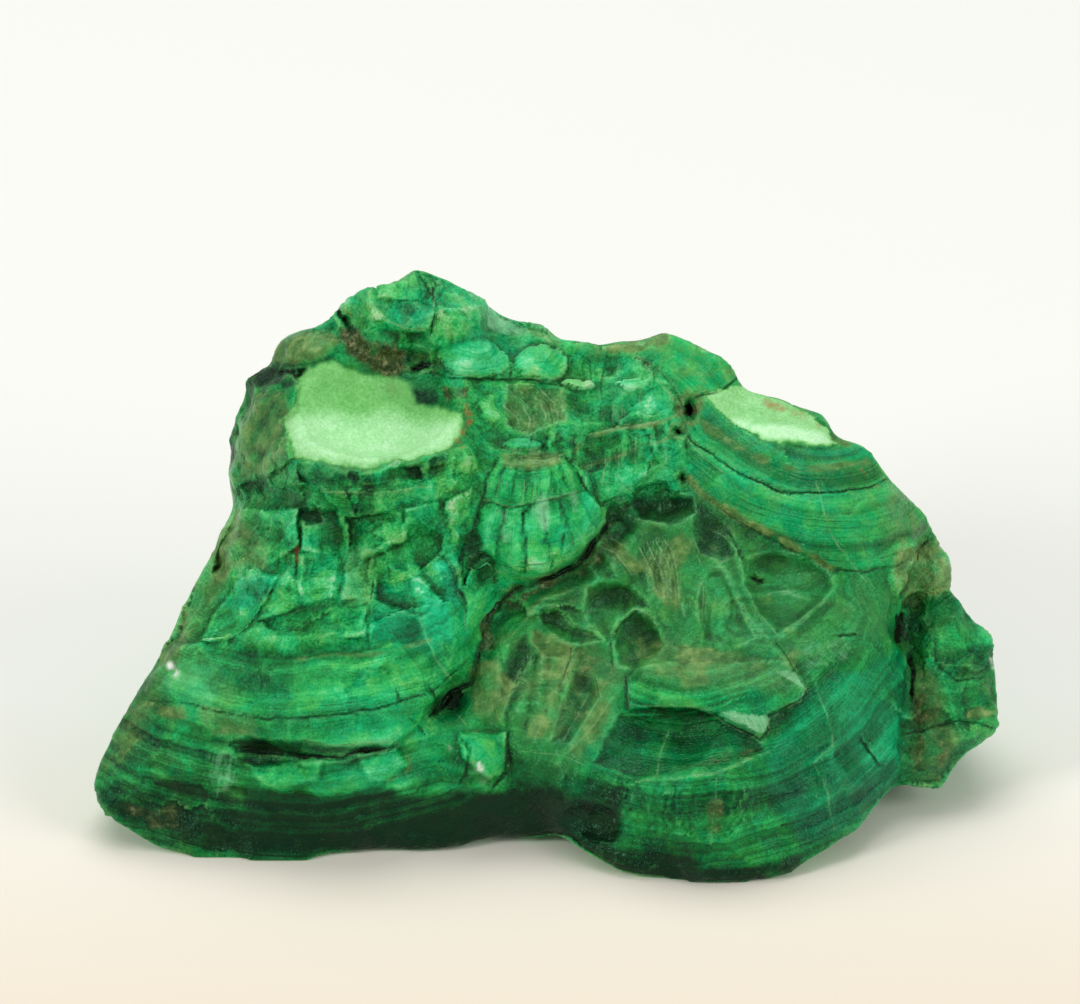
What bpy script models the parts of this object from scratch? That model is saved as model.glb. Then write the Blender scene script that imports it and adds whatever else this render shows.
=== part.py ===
"""Malachite hand specimen: one broken, fan-grown stone, 120 mm across, as a single closed solid.

The stone rests on its underside.  Its broken front leans back, and is laid out on its own
plane: "across" runs to the right, "up" runs up the lean and "out" is the height of the
relief over the plane.  The solid is what lies behind that relief, inside the outline, in
front of the fracture planes and domes of the back, and above the underside.

A sphere's vertices are pulled out onto that body along their own directions, the mesh is
decimated to flat facets, and the bottom is cut flat where the stone touches what it lies on.
"""

import itertools
import math

import bmesh
import bpy
import numpy as np

# ----------------------------------------------------------------------------------------
# Driving dimensions.  Working lengths are millimetres, and the finished mesh is in metres.
# ----------------------------------------------------------------------------------------
PART_NAME = "malachite"
COLLECTION_NAME = "malachite_specimen"
METRES_PER_MM = 0.001

FACE_LEAN = math.radians(28.0)         # how far the broken front leans back from upright
FACE_ORIGIN = (-0.65, 3.6, 38.55)      # the front plane's own zero, over the footprint
STONE_CORE = (0.0, 1.0, 20.0)          # middle of the spine that the surface is drawn from
SPINE_BEND = (38.0, -8.0, -5.0)        # the spine's ends lie this far along, forward and down
CORE_REACH = (24.0, 31.0, 44.0)        # rough reach from the spine to the surface

SIDE_DRAFT = 0.32                      # the flanks close in by this much per mm going back
EDGE_ROUNDING = 0.8                    # fracture edges are broken by about this much
OUTLINE_MARGIN = 0.3                   # and the outline is let out by this much to allow for it
UNDERSIDE_DROP = 1.2                   # the rough underside reaches this far below the cut
FACET_BUDGET = 10200                   # triangles left by decimation, before the bottom is cut
SPHERE_DETAIL = 7                      # icosphere subdivisions before decimation

GRID_STEP = 0.5                        # spacing of the relief map
GRID_ACROSS = (-66.0, 66.0)
GRID_UP = (-56.0, 38.0)

SPOT_SOFTNESS = 2.0                    # lets the sheet pass a little off each spot height
LEDGE_EDGE = 0.9                       # a ledge's step takes this long
LEDGE_RAISED = 0.6                     # share of the step that is raised, the rest is sunk
CREASE_POWER = 1.3                     # 1 is a straight V, more is a sharper one
CREASE_END = 0.35                      # share of a crease's depth that is left at its ends
TERRACE_RISE = 0.75                    # share of a terrace that rises, before it drops
RIB_MEAN = 0.6                         # mean height of a rib, which is taken off it
FAN_FADE = 2.0                         # a fan's relief fades in over this many mm
FAN_TURN_FADE = 6.0                    # and over this many degrees
SCOOP_ROUNDING = 0.6
DOME_BLEND = 1.2
ROUGHNESS = [(13.0, 0.45, 3), (5.5, 0.25, 5), (2.8, 0.14, 7)]   # lump size, height, seed
CHIP_SCARS = [(11.0, 1.1, 11), (5.0, 0.45, 13)]                 # scar size, depth, seed
NOISE_CELLS = 32                       # the noise repeats after this many lumps

WALK_STEP = 0.03                       # shares of the reach from the spine
WALK_LIMIT = 1.5
HALVINGS = 10
VOXEL_SIZE = 0.0008                    # metres, as the modifier takes it
SETTLING_ROUNDS = 4
SLOPE_STEP = 0.15
LONGEST_MOVE = 0.5
MERGE_DISTANCE = 0.00005                # metres
SCAR_BALANCE = 0.3                     # the share of a scar's depth that lies below the surface

STONE_GREEN = (0.035, 0.27, 0.085, 1.0)
STONE_ROUGHNESS = 0.42

# Outline of the broken front, clockwise from the left tip: (across, up, out).  The last
# number is how far out the rim lies there.
OUTLINE = [
    (-59.4, -36.8, 4.0), (-57.9, -39.2, 4.5), (-55.7, -42.1, 5.5), (-51.7, -45.2, 6.0),
    (-44.8, -47.0, 6.5), (-37.9, -47.5, 7.0), (-30.5, -47.2, 7.5), (-22.5, -46.2, 5.8),
    (-14.7, -46.4, 5.8), (-8.2, -45.2, 4.6), (-2.7, -44.8, 4.2), (0.7, -44.8, 5.2),
    (2.7, -45.3, 8.0), (5.6, -47.0, 10.0), (11.0, -48.3, 11.5), (19.7, -49.7, 12.0),
    (24.5, -50.2, 12.5), (29.2, -49.8, 12.0), (33.8, -48.1, 11.0), (38.7, -44.9, 9.0),
    (44.9, -40.4, 4.0), (47.7, -38.2, 0.0), (52.9, -38.0, -3.0), (54.8, -36.2, -3.0),
    (57.4, -32.3, -4.0), (59.9, -30.5, -4.5), (60.7, -26.2, -5.0), (60.4, -23.1, -6.0),
    (59.5, -18.0, -7.0), (57.0, -14.6, -8.0), (54.9, -11.7, -8.0), (54.1, -7.6, -8.0),
    (52.9, -4.1, -8.0), (50.0, -0.5, -7.0), (46.2, 2.8, -6.0), (43.3, 6.6, -5.5),
    (41.2, 8.1, -5.0), (37.1, 11.4, -6.0), (29.7, 14.6, -7.0), (26.9, 15.7, -7.5),
    (26.0, 17.6, -7.0), (22.1, 19.6, -7.0), (18.8, 21.9, -7.0), (16.4, 22.2, -7.0),
    (7.7, 20.9, -7.0), (2.7, 21.9, -7.0), (-0.9, 23.7, -7.0), (-9.4, 28.0, -5.0),
    (-13.5, 30.3, -4.0), (-16.6, 30.7, -4.0), (-18.8, 29.3, -4.0), (-24.1, 27.3, -5.0),
    (-26.9, 25.7, -6.0), (-29.3, 23.3, -8.0), (-32.2, 22.8, -8.5), (-35.0, 20.6, -10.0),
    (-35.7, 18.4, -11.0), (-37.9, 16.7, -12.0), (-38.7, 13.1, -13.0), (-40.9, 7.0, -14.0),
    (-41.2, 2.5, -13.0), (-40.6, -0.7, -9.0), (-46.8, -13.0, -3.0), (-55.7, -29.9, 2.0),
]

# Heights of the bare relief, row by row down the front: up -> (across, out) pairs.
SPOT_HEIGHTS = {
    27.0: [(-25, -4.5), (-16, -2.0), (-10, -3.5)],
    21.0: [(-31, -6.5), (-25, -3.0), (-18, -0.5), (-12, 0.0), (-5, -4.0), (3, -5.5), (11, -6),
           (19, -6)],
    14.0: [(-37, -9.0), (-33, -1.0), (-22, 2.0), (-11, 1.0), (-5, -1.5), (3, -2.5), (11, -3),
           (19, -3.5), (25, -5.0), (33, -5.5)],
    7.0: [(-39, -11), (-35, 1.0), (-30, 7.0), (-22, 8.0), (-11, 5.0), (-5, 3.0), (0, 2.5),
          (11, -0.5), (19, -1.5), (24, -2.0), (30, 0.5), (37, -1.0), (42, -4.5)],
    0.0: [(-38, -3.0), (-32, 6.5), (-24, 7.5), (-16, 7.5), (-10, 6.0), (-4, 5.0), (0, 5.0),
          (6, 3.5), (10, 1.5), (16, 0.5), (21, 0.5), (29, 2.5), (38, 3.0), (45, -1.0)],
    -6.5: [(-41, -2.0), (-34, 5.0), (-26, 7.0), (-18, 7.5), (-10, 7.5), (-2, 8.0), (4, 6.0),
           (8, 3.5), (16, 2.5), (24, 3.0), (32, 4.0), (40, 4.0), (47, 0.0), (52, -6.0)],
    -13.0: [(-44, 0.0), (-37, 6.0), (-26, 9.0), (-18, 9.5), (-11, 8.0), (-5, 5.0), (0, 4.0),
            (8, 3.5), (16, 4.0), (24, 4.5), (32, 5.0), (40, 5.0), (46, 1.0), (50, -5.0),
            (55, -6.0)],
    -19.5: [(-48, 3.0), (-42, 7.0), (-34, 9.0), (-26, 11.0), (-18, 11.5), (-11, 9.0),
            (-5, 6.0), (1, 5.5), (8, 5.5), (16, 6.0), (24, 7.5), (32, 8.5), (40, 7.5),
            (45, 4.0), (49, -2.0), (54, -2.0), (58, -4.5)],
    -26.0: [(-52, 3.5), (-46, 8.0), (-36, 11.5), (-26, 13.5), (-18, 12.5), (-12, 9.0),
            (-5, 7.5), (3, 8.5), (11, 10.0), (19, 11.5), (27, 12.5), (35, 12.5), (43, 8.0),
            (48, 1.0), (54, -1.5), (58, -3.5)],
    -31.5: [(-54, 5.0), (-46, 9.0), (-37, 12.0), (-27, 15.0), (-19, 13.5), (-12, 10.5),
            (-5, 10.0), (3, 10.5), (11, 11.5), (19, 12.5), (27, 14.0), (32, 13.5), (36, 12.0),
            (43, 7.5), (48, 2.0), (54, -1.0)],
    -37.0: [(-54, 6.0), (-46, 9.0), (-37, 11.0), (-27, 12.5), (-19, 11.0), (-12, 10.0),
            (-5, 10.0), (3, 12.0), (11, 15.0), (19, 17.5), (26, 17.5), (31, 15.5), (37, 11.5),
            (44, 5.5), (50, 0.0)],
    -42.0: [(-52, 6.5), (-42, 8.5), (-32, 9.5), (-22, 8.5), (-12, 7.0), (-3, 6.0), (4, 10.0),
            (13, 13.5), (21, 15.5), (28, 15.5), (33, 12.5), (38, 9.5)],
}

# Ledges: (points along the edge, height of the step, how far back the raised side reaches).
# The raised side lies to the left of the line as it is walked.
LEDGES = [
    # banded bowl at the right, standing over the open field
    ([(20.0, 2.3), (24.2, -0.8), (28.6, -3.6), (32.3, -6.1), (37.0, -7.8), (43.3, -8.9),
      (47.0, -7.6), (51.4, -5.0)], 1.8, 7.0),
    # fluted skirt, hanging over the seam
    ([(-7.0, -7.0), (-3.4, -10.3), (1.6, -9.2), (5.2, -7.3), (8.9, -2.9), (10.5, 0.5)], 2.4, 6.0),
    # scalloped lip across the skirt
    ([(-7.3, 0.4), (-4.0, -0.5), (-0.9, 0.0), (2.5, 0.8), (6.1, 2.1)], 0.8, 2.5),
    # stacked lips of the middle lobe
    ([(4.4, 8.3), (7.8, 9.4), (12.1, 10.3), (16.2, 11.1)], 1.2, 3.0),
    ([(5.2, 6.5), (10.6, 7.3), (16.4, 8.5)], 0.9, 2.0),
    ([(8.7, 2.4), (13.5, 3.4), (18.4, 5.0)], 0.9, 2.5),
    # bench under the large scoop
    ([(-30.0, 0.8), (-24.0, -0.6), (-17.0, -0.4), (-11.0, 1.6)], 1.2, 4.0),
    # long broken ledge low on the left fan
    ([(-41.0, -32.0), (-31.8, -33.0), (-25.7, -33.5), (-20.8, -32.2), (-17.4, -30.2),
      (-14.6, -26.9), (-11.3, -24.4)], 2.6, 7.0),
    # lower break of the left fan, over the dark belt
    ([(-52.0, -36.4), (-44.0, -37.8), (-36.0, -38.4), (-27.0, -38.2), (-19.5, -37.0)], 1.6, 3.5),
    # thin plate on the front lobe
    ([(11.3, -26.2), (16.7, -26.7), (23.3, -27.8), (29.0, -31.0), (30.4, -29.0),
      (31.5, -27.6), (34.6, -26.6)], 1.3, 5.0),
    # rim of the shell-shaped hollow under the plate
    ([(29.6, -33.0), (24.6, -34.8), (21.3, -36.1), (15.8, -36.6), (10.5, -36.2)], 1.2, 3.0),
    # block edge over the small scoop
    ([(26.4, 15.4), (21.8, 14.2), (18.5, 12.6)], 1.6, 4.0),
    # right end of the stone, over its own foot
    ([(52.0, -28.4), (55.9, -28.2), (60.0, -27.6)], 1.4, 3.0),
]

# Creases: (points along the bottom, depth, half width).
CREASES = [
    # seam between the lobes, from the middle of the front down to the left
    ([(19.7, 1.5), (14.4, 0.6), (11.7, -1.6), (8.6, -5.4), (5.0, -9.0), (-0.6, -11.4),
      (-4.9, -13.6), (-6.5, -16.6), (-8.0, -20.6), (-9.6, -24.6), (-12.0, -28.0)], 3.0, 2.8),
    # groove that sets the right end off
    ([(51.6, -4.6), (48.9, -11.0), (48.6, -19.6), (49.4, -26.2), (48.6, -32.9),
      (47.8, -39.0)], 3.2, 2.6),
    # foot of the peak block
    ([(-26.5, 22.4), (-24.5, 19.4), (-20.4, 17.2), (-15.2, 17.0), (-12.2, 19.4),
      (-8.0, 22.6)], 1.6, 1.8),
    # right edge of the middle lobe
    ([(11.6, 20.8), (15.4, 17.8), (17.6, 15.2), (19.5, 12.0), (19.2, 7.6), (20.0, 2.6)], 1.6, 1.5),
    # left edge of the middle lobe and of the skirt
    ([(-8.6, 14.6), (-8.0, 9.0), (-7.4, 3.6), (-8.8, -3.0), (-8.0, -8.4), (-5.6, -12.6)], 1.3, 1.6),
    # left edge of the front lobe
    ([(-9.2, -24.0), (-7.4, -28.4), (-4.6, -33.6), (-2.0, -39.0), (1.6, -44.4)], 1.5, 2.4),
    # cracks across the right end
    ([(49.5, -24.0), (54.0, -22.6), (59.6, -24.4)], 0.9, 1.4),
    # cleft behind the left knob
    ([(-29.8, 20.4), (-27.2, 18.4), (-26.6, 15.6)], 1.2, 1.3),
]

# Lumps and hollows: (across, up, half length, half width, turn in degrees, height).
# A lump has a steep foot and a round top, and a hollow is a shallow bowl with a sharp rim.
LUMPS = [
    (-31.1, 20.9, 4.6, 2.3, 8, 2.4),       # smooth knob at the upper left
    (-18.6, 25.4, 6.4, 4.0, -20, 1.2),     # peak block
    (-9.6, 22.6, 4.2, 2.6, -28, 0.9),
    (-8.6, 19.3, 4.2, 2.1, 8, 0.9),        # small fans on the middle lobe
    (-0.5, 18.4, 2.9, 1.9, -6, 0.9),
    (5.3, 15.9, 2.3, 1.2, -4, 0.8),
    (11.6, 15.9, 2.1, 1.0, 0, 0.8),
    (-6.4, 12.7, 1.9, 1.9, 0, 0.8),
    (-2.0, 7.9, 3.4, 1.2, 2, 0.9),         # flat lens above the skirt
    (9.6, 5.4, 3.0, 1.4, 12, 0.7),
    (15.5, 6.4, 2.4, 1.2, 14, 0.7),
    (23.9, -13.2, 1.8, 3.4, 4, 0.9),       # bent column in the open field
    (2.2, -14.8, 1.3, 3.2, 34, 0.8),       # petals below the seam
    (5.8, -12.6, 1.2, 2.9, -22, 0.8),
    (9.8, -15.2, 1.4, 2.6, -50, 0.8),
    (2.0, -19.0, 3.2, 1.9, 10, 0.9),
    (-1.6, -25.4, 1.3, 4.2, -24, 0.8),     # ribs left of the front lobe
    (3.2, -26.6, 1.3, 4.0, -16, 0.8),
    (-6.2, -21.4, 1.2, 3.2, -14, 0.7),
    (-18.2, -37.8, 2.2, 1.2, 10, 1.0),     # small lumps above the belt
    (-11.8, -36.9, 2.1, 1.8, 0, 1.1),
    (-20.8, -34.9, 3.4, 1.8, 16, 0.8),
    (-7.6, -33.9, 3.2, 3.1, 0, 1.2),
    (-34.0, -36.2, 5.2, 1.5, -3, 0.9),     # bright lens under the long ledge
    (-52.2, -34.2, 3.2, 2.4, -20, 1.0),
    (-47.8, -28.8, 2.2, 2.8, 0, 0.8),
    (51.2, -9.4, 3.2, 2.6, 30, 1.3),       # crusted lump at the right shoulder
    (56.0, -30.8, 3.4, 2.2, 10, 1.2),
    (52.4, -34.2, 2.4, 2.8, 0, 1.0),
    (51.6, -25.0, 2.0, 2.4, 0, 0.8),
    (-34.6, 4.0, 2.0, 3.4, 24, 0.8),       # shoulder left of the large scoop
    (12.4, -6.5, 1.0, 4.5, -12, 0.9),      # ribs across the open field
    (9.2, -8.2, 0.9, 3.6, 22, 0.7),
    (15.8, -10.0, 1.0, 4.4, 9, 0.8),
    (27.5, -8.6, 1.0, 4.6, -24, 0.9),
    (20.4, -16.4, 1.0, 3.0, -8, 0.7),
    (29.0, -19.4, 4.6, 1.0, -14, 0.7),
]
HOLLOWS = [
    (18.6, -31.4, 11.6, 4.2, 4, 2.0),      # shell-shaped hollow under the plate
    (13.2, -18.4, 4.2, 3.4, 40, 1.4),      # leaf-shaped hollow in the open field
    (16.6, -0.8, 4.4, 2.0, -8, 1.3),
    (23.2, -4.4, 2.8, 3.0, 0, 0.9),
    (10.6, -12.6, 2.9, 2.2, 20, 1.0),
    (2.1, -15.0, 2.7, 2.1, 30, 0.8),
    (32.5, -11.7, 6.6, 5.0, -18, 1.4),     # smooth bowl at the right of the field
    (-11.7, -26.5, 2.4, 1.7, 40, 3.0),     # deep hole beside the left fan
    (19.7, 12.3, 1.3, 1.5, 0, 2.0),        # holes beside the small scoop
    (56.0, -19.4, 3.8, 3.8, 0, 1.2),       # round facet on the right end
    (-40.1, -14.3, 5.8, 3.0, 34, 1.2),     # long facet on the left fan
    (-35.8, -32.8, 4.6, 1.4, -2, 2.2),     # pocket under the long ledge
    (7.0, -42.4, 4.0, 2.6, -14, 2.2),      # pocket in the belt
    (47.6, -17.2, 1.5, 2.4, 0, 2.0),
    (54.8, -29.8, 1.6, 1.0, 0, 1.0),
    (-14.5, -12.0, 2.2, 4.4, -8, 0.8),     # bright facet on the left fan
    (-5.4, 24.6, 3.4, 1.5, -34, 0.8),      # glossy facet behind the middle lobe
    (-11.4, 14.6, 2.2, 1.0, 10, 0.9),
]

# Growth bands that stand out as low steps: (across, up of the centre, radii from and to,
# directions from and to in degrees, spacing, height).
TERRACES = [
    (39.8, 28.8, 21.5, 36.0, 205, 285, 3.3, 0.40),     # bowl of bands at the right
    (-31.8, 13.5, 13.0, 46.0, 225, 325, 5.6, 0.28),    # left fan
    (6.6, 27.3, 7.0, 26.0, 215, 325, 3.6, 0.45),       # middle lobe
    (19.9, -7.7, 22.0, 46.0, 255, 330, 5.2, 0.26),     # front lobe
]
TERRACE_WANDER = 2.2                   # how far a terrace strays from its even spacing
WANDER_SIZE = 16.0
WANDER_SEED = 17

# Flutes that spread like a fan's ribs: (across, up of the centre, radii from and to,
# directions from and to in degrees, number of ribs, height).
FLUTES = [
    (-1.3, 17.0, 16.5, 28.0, 248, 304, 7, 0.55),       # skirt
    (-27.0, 22.0, 24.0, 36.0, 236, 292, 9, 0.40),      # top of the left fan
    (20.0, 4.0, 42.0, 54.0, 252, 284, 11, 0.45),       # belt of the front lobe
    (-28.0, 10.0, 48.0, 58.0, 250, 300, 12, 0.35),     # belt of the left fan
]

# Scoops: worn, nearly level bowls cut down into the front.
# (centre x, y, z; radii; tilt about the y axis in degrees)
SCOOPS = [
    ((-22.6, 5.2, 57.6), (13.4, 10.2, 12.2), 0.0),
    ((31.6, 13.0, 56.6), (13.4, 7.6, 10.6), 16.0),
]

# Fracture planes of the back: (outward direction, a point on the plane), x right, y back.
BACK_PLANES = [
    ((0.05, 1.0, 0.14), (0.0, 29.2, 24.0)),
    ((-0.04, 1.0, -0.30), (0.0, 28.5, 17.0)),
    ((0.50, 0.85, 0.12), (37.0, 22.0, 20.0)),
    ((0.84, 0.52, 0.05), (57.0, 9.6, 14.0)),
    ((-0.42, 0.90, 0.05), (-34.0, 27.5, 22.0)),
    ((-0.80, 0.55, -0.10), (-50.0, 7.5, 12.0)),
    ((0.10, 0.72, 0.66), (1.0, 33.5, 53.5)),
    ((0.45, 0.62, 0.60), (39.5, 21.0, 40.5)),
]

# Grape-like domes left whole on the back: (centre x, y, z, radius).
BACK_DOMES = [
    (-21.0, 17.5, 33.0, 14.0), (3.0, 15.5, 38.0, 15.0), (-5.0, 18.0, 12.5, 13.0),
    (17.5, 17.0, 18.5, 13.8), (34.0, 9.5, 21.0, 15.0), (-31.0, 14.5, 14.0, 16.0),
    (44.0, 3.5, 10.0, 15.0), (22.0, 14.0, 35.0, 13.5), (-44.0, 0.0, 8.0, 11.5),
    (-48.0, -6.0, 15.0, 11.0), (-31.0, 16.5, 44.0, 8.5),
]


# ----------------------------------------------------------------------------------------
# The relief map of the front
# ----------------------------------------------------------------------------------------
def smoothstep(t):
    """Return 0 below 0, 1 above 1, and an even ramp between."""
    t = np.clip(t, 0.0, 1.0)
    return t * t * (3.0 - 2.0 * t)


def to_polyline(across, up, points, closed=False):
    """Return each place's distance to a line, its side (+1 left), and where it is nearest.

    Where it is nearest is a number that counts corners: 2.25 lies a quarter of the way from
    point 2 to point 3.
    """
    corners = list(points) + ([points[0]] if closed else [])
    best = np.full(across.shape, np.inf)
    side = np.ones(across.shape)
    nearest = np.zeros(across.shape)
    for index in range(len(corners) - 1):
        ax, ay = corners[index][:2]
        bx, by = corners[index + 1][:2]
        run, rise = bx - ax, by - ay
        along = ((across - ax) * run + (up - ay) * rise) / (run * run + rise * rise)
        along = np.clip(along, 0.0, 1.0)
        off_x = across - ax - along * run
        off_y = up - ay - along * rise
        distance = np.hypot(off_x, off_y)
        closer = distance < best
        best = np.where(closer, distance, best)
        side = np.where(closer, np.sign(run * off_y - rise * off_x + 1e-12), side)
        nearest = np.where(closer, index + along, nearest)
    return best, side, nearest


def outline_map(across, up):
    """Return the signed distance past the outline and the rim's height at each place."""
    distance, _, nearest = to_polyline(across, up, OUTLINE, closed=True)
    inside = np.zeros(across.shape, dtype=bool)
    previous = OUTLINE[-1]
    for corner in OUTLINE:
        (ax, ay, _), (bx, by, _) = previous, corner
        if ay != by:
            crossing = (bx - ax) * (up - ay) / (by - ay) + ax
            inside ^= ((ay > up) != (by > up)) & (across < crossing)
        previous = corner
    rims = np.array([corner[2] for corner in OUTLINE] + [OUTLINE[0][2]])
    rim = np.interp(nearest, np.arange(len(rims)), rims)
    return np.where(inside, -distance, distance), rim


def spot_height_surface(across, up):
    """Return the smooth sheet through the outline's rim and all the spot heights."""
    spots = list(OUTLINE)
    for row, pairs in SPOT_HEIGHTS.items():
        spots += [(place, row, height) for place, height in pairs]
    spots = np.array(spots, dtype=float)

    def kernel(dx, dy):
        squared = dx * dx + dy * dy
        return 0.5 * squared * np.log(squared + 1e-9)

    count = len(spots)
    plane = np.column_stack([np.ones(count), spots[:, 0], spots[:, 1]])
    system = np.zeros((count + 3, count + 3))
    system[:count, :count] = kernel(spots[:, None, 0] - spots[None, :, 0],
                                    spots[:, None, 1] - spots[None, :, 1])
    system[:count, :count] += np.eye(count) * SPOT_SOFTNESS
    system[:count, count:] = plane
    system[count:, :count] = plane.T
    weights = np.linalg.solve(system, np.append(spots[:, 2], np.zeros(3)))
    height = weights[count] + weights[count + 1] * across + weights[count + 2] * up
    for spot, weight in zip(spots, weights):
        height = height + weight * kernel(across - spot[0], up - spot[1])
    return height


def ledge_relief(across, up, points, step, reach):
    """Raise the left side of a line sharply at its edge, fading away from it."""
    distance, side, nearest = to_polyline(across, up, points)
    ends = smoothstep(nearest / 0.5) * smoothstep((len(points) - 1 - nearest) / 0.5)
    offset = distance * side
    raised = smoothstep(offset / LEDGE_EDGE + 0.5) * np.exp(-np.maximum(offset, 0.0) / reach)
    sunk = smoothstep(0.5 - offset / LEDGE_EDGE) * np.exp(-np.maximum(-offset, 0.0) / reach * 2.0)
    return step * ends * (LEDGE_RAISED * raised - (1.0 - LEDGE_RAISED) * sunk)


def crease_relief(across, up, points, depth, half_width):
    """Press a V along a line, shallow towards its ends."""
    distance, _, nearest = to_polyline(across, up, points)
    middle = smoothstep(nearest) * smoothstep(len(points) - 1 - nearest)
    share = CREASE_END + (1.0 - CREASE_END) * middle
    return -depth * share * np.maximum(0.0, 1.0 - distance / half_width) ** CREASE_POWER


def oval_radius(across, up, centre_across, centre_up, half_length, half_width, turn):
    """Return 0 at an oval's centre and 1 on its rim."""
    angle = math.radians(turn)
    dx, dy = across - centre_across, up - centre_up
    along = (dx * math.cos(angle) + dy * math.sin(angle)) / half_length
    aside = (dy * math.cos(angle) - dx * math.sin(angle)) / half_width
    return np.hypot(along, aside)


def fan_position(across, up, centre_across, centre_up):
    """Return the distance from a fan's centre and the direction in degrees."""
    dx, dy = across - centre_across, up - centre_up
    return np.hypot(dx, dy), np.degrees(np.arctan2(dy, dx)) % 360.0


def fan_mask(radius, direction, inner, outer, first, last):
    """Return 1 well inside a fan and 0 outside it."""
    mask = smoothstep((radius - inner) / FAN_FADE) * smoothstep((outer - radius) / FAN_FADE)
    mask *= smoothstep((direction - first) / FAN_TURN_FADE)
    return mask * smoothstep((last - direction) / FAN_TURN_FADE)


def front_relief(across, up):
    """Return how far the broken front stands out of its plane."""
    height = spot_height_surface(across, up)
    for points, step, reach in LEDGES:
        height += ledge_relief(across, up, points, step, reach)
    for points, depth, half_width in CREASES:
        height += crease_relief(across, up, points, depth, half_width)
    for *oval, tall in LUMPS:
        height += tall * np.sqrt(np.maximum(0.0, 1.0 - oval_radius(across, up, *oval) ** 2))
    for *oval, deep in HOLLOWS:
        height -= deep * np.maximum(0.0, 1.0 - oval_radius(across, up, *oval) ** 2)
    places = np.column_stack([across.ravel(), up.ravel(), np.zeros(across.size)])
    wander = TERRACE_WANDER * lump_noise(places, WANDER_SIZE, WANDER_SEED).reshape(across.shape)
    for x, y, inner, outer, first, last, spacing, tall in TERRACES:
        radius, direction = fan_position(across, up, x, y)
        saw = ((radius + wander) / spacing) % 1.0
        step = smoothstep(saw / TERRACE_RISE) * smoothstep((1.0 - saw) / (1.0 - TERRACE_RISE))
        height += tall * (step - 0.5) * fan_mask(radius, direction, inner, outer, first, last)
    for x, y, inner, outer, first, last, ribs, tall in FLUTES:
        radius, direction = fan_position(across, up, x, y)
        rib = np.abs(np.sin(math.pi * ribs * (direction - first) / (last - first)))
        height += tall * (rib - RIB_MEAN) * fan_mask(radius, direction, inner, outer, first, last)
    return height


# ----------------------------------------------------------------------------------------
# The body
# ----------------------------------------------------------------------------------------
def chart_front():
    """Return the maps of the front: its relief, the way past its outline and its rim."""
    across = np.arange(GRID_ACROSS[0], GRID_ACROSS[1] + GRID_STEP, GRID_STEP)
    up = np.arange(GRID_UP[0], GRID_UP[1] + GRID_STEP, GRID_STEP)
    across, up = np.meshgrid(across, up)
    return (front_relief(across, up), *outline_map(across, up))


def read_chart(chart, across, up):
    """Return a map's value at each place, blended between its four nearest knots."""
    rows, columns = chart.shape
    x = np.clip((across - GRID_ACROSS[0]) / GRID_STEP, 0, columns - 1.001)
    y = np.clip((up - GRID_UP[0]) / GRID_STEP, 0, rows - 1.001)
    column, row = x.astype(int), y.astype(int)
    x, y = x - column, y - row
    lower = chart[row, column] * (1 - x) + chart[row, column + 1] * x
    upper = chart[row + 1, column] * (1 - x) + chart[row + 1, column + 1] * x
    return lower * (1 - y) + upper * y


def lump_noise(points, size, seed):
    """Return smooth noise between -1 and 1 whose lumps are about `size` across."""
    lattice = np.random.default_rng(seed).uniform(-1.0, 1.0, (NOISE_CELLS,) * 3)
    cell = points / size
    low = np.floor(cell).astype(int)
    share = smoothstep(cell - low)
    total = np.zeros(len(points))
    for corner in itertools.product((0, 1), repeat=3):
        weight = np.prod(np.where(corner, share, 1.0 - share), axis=1)
        x, y, z = ((low + corner) % NOISE_CELLS).T
        total += weight * lattice[x, y, z]
    return total


def chip_scars(points, size, seed):
    """Return scalloped bowls, 0 at a bowl's middle and about 1 on the ridges between them."""
    jitter = np.random.default_rng(seed).uniform(0.1, 0.9, (NOISE_CELLS,) * 3 + (3,))
    cell = points / size
    low = np.floor(cell).astype(int)
    nearest = np.full(len(points), np.inf)
    for corner in itertools.product((-1, 0, 1), repeat=3):
        x, y, z = ((low + corner) % NOISE_CELLS).T
        middle = low + corner + jitter[x, y, z]
        nearest = np.minimum(nearest, np.sum((cell - middle) ** 2, axis=1))
    return np.minimum(nearest, 1.0)


def smooth_max(first, second, width):
    """Return the larger value, rounding the meeting of the two over `width`."""
    share = np.clip(0.5 + 0.5 * (first - second) / width, 0.0, 1.0)
    return second + (first - second) * share + width * share * (1.0 - share)


def past_back(points):
    """Return how far points lie behind the stone's back."""
    past = np.full(len(points), -np.inf)
    for direction, place in BACK_PLANES:
        direction = np.array(direction) / np.linalg.norm(direction)
        past = np.maximum(past, (points - place) @ direction)
    for *centre, radius in BACK_DOMES:
        dome = np.linalg.norm(points - centre, axis=1) - radius
        past = -smooth_max(-past, -dome, DOME_BLEND)
    return past


def inside_scoop(points, centre, radii, tilt):
    """Return how far points lie inside a scoop's oval."""
    angle = math.radians(tilt)
    x, y, z = (points - centre).T
    across = x * math.cos(angle) - z * math.sin(angle)
    upward = x * math.sin(angle) + z * math.cos(angle)
    radius = np.sqrt((across / radii[0]) ** 2 + (y / radii[1]) ** 2 + (upward / radii[2]) ** 2)
    return (1.0 - radius) * min(radii)


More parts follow.
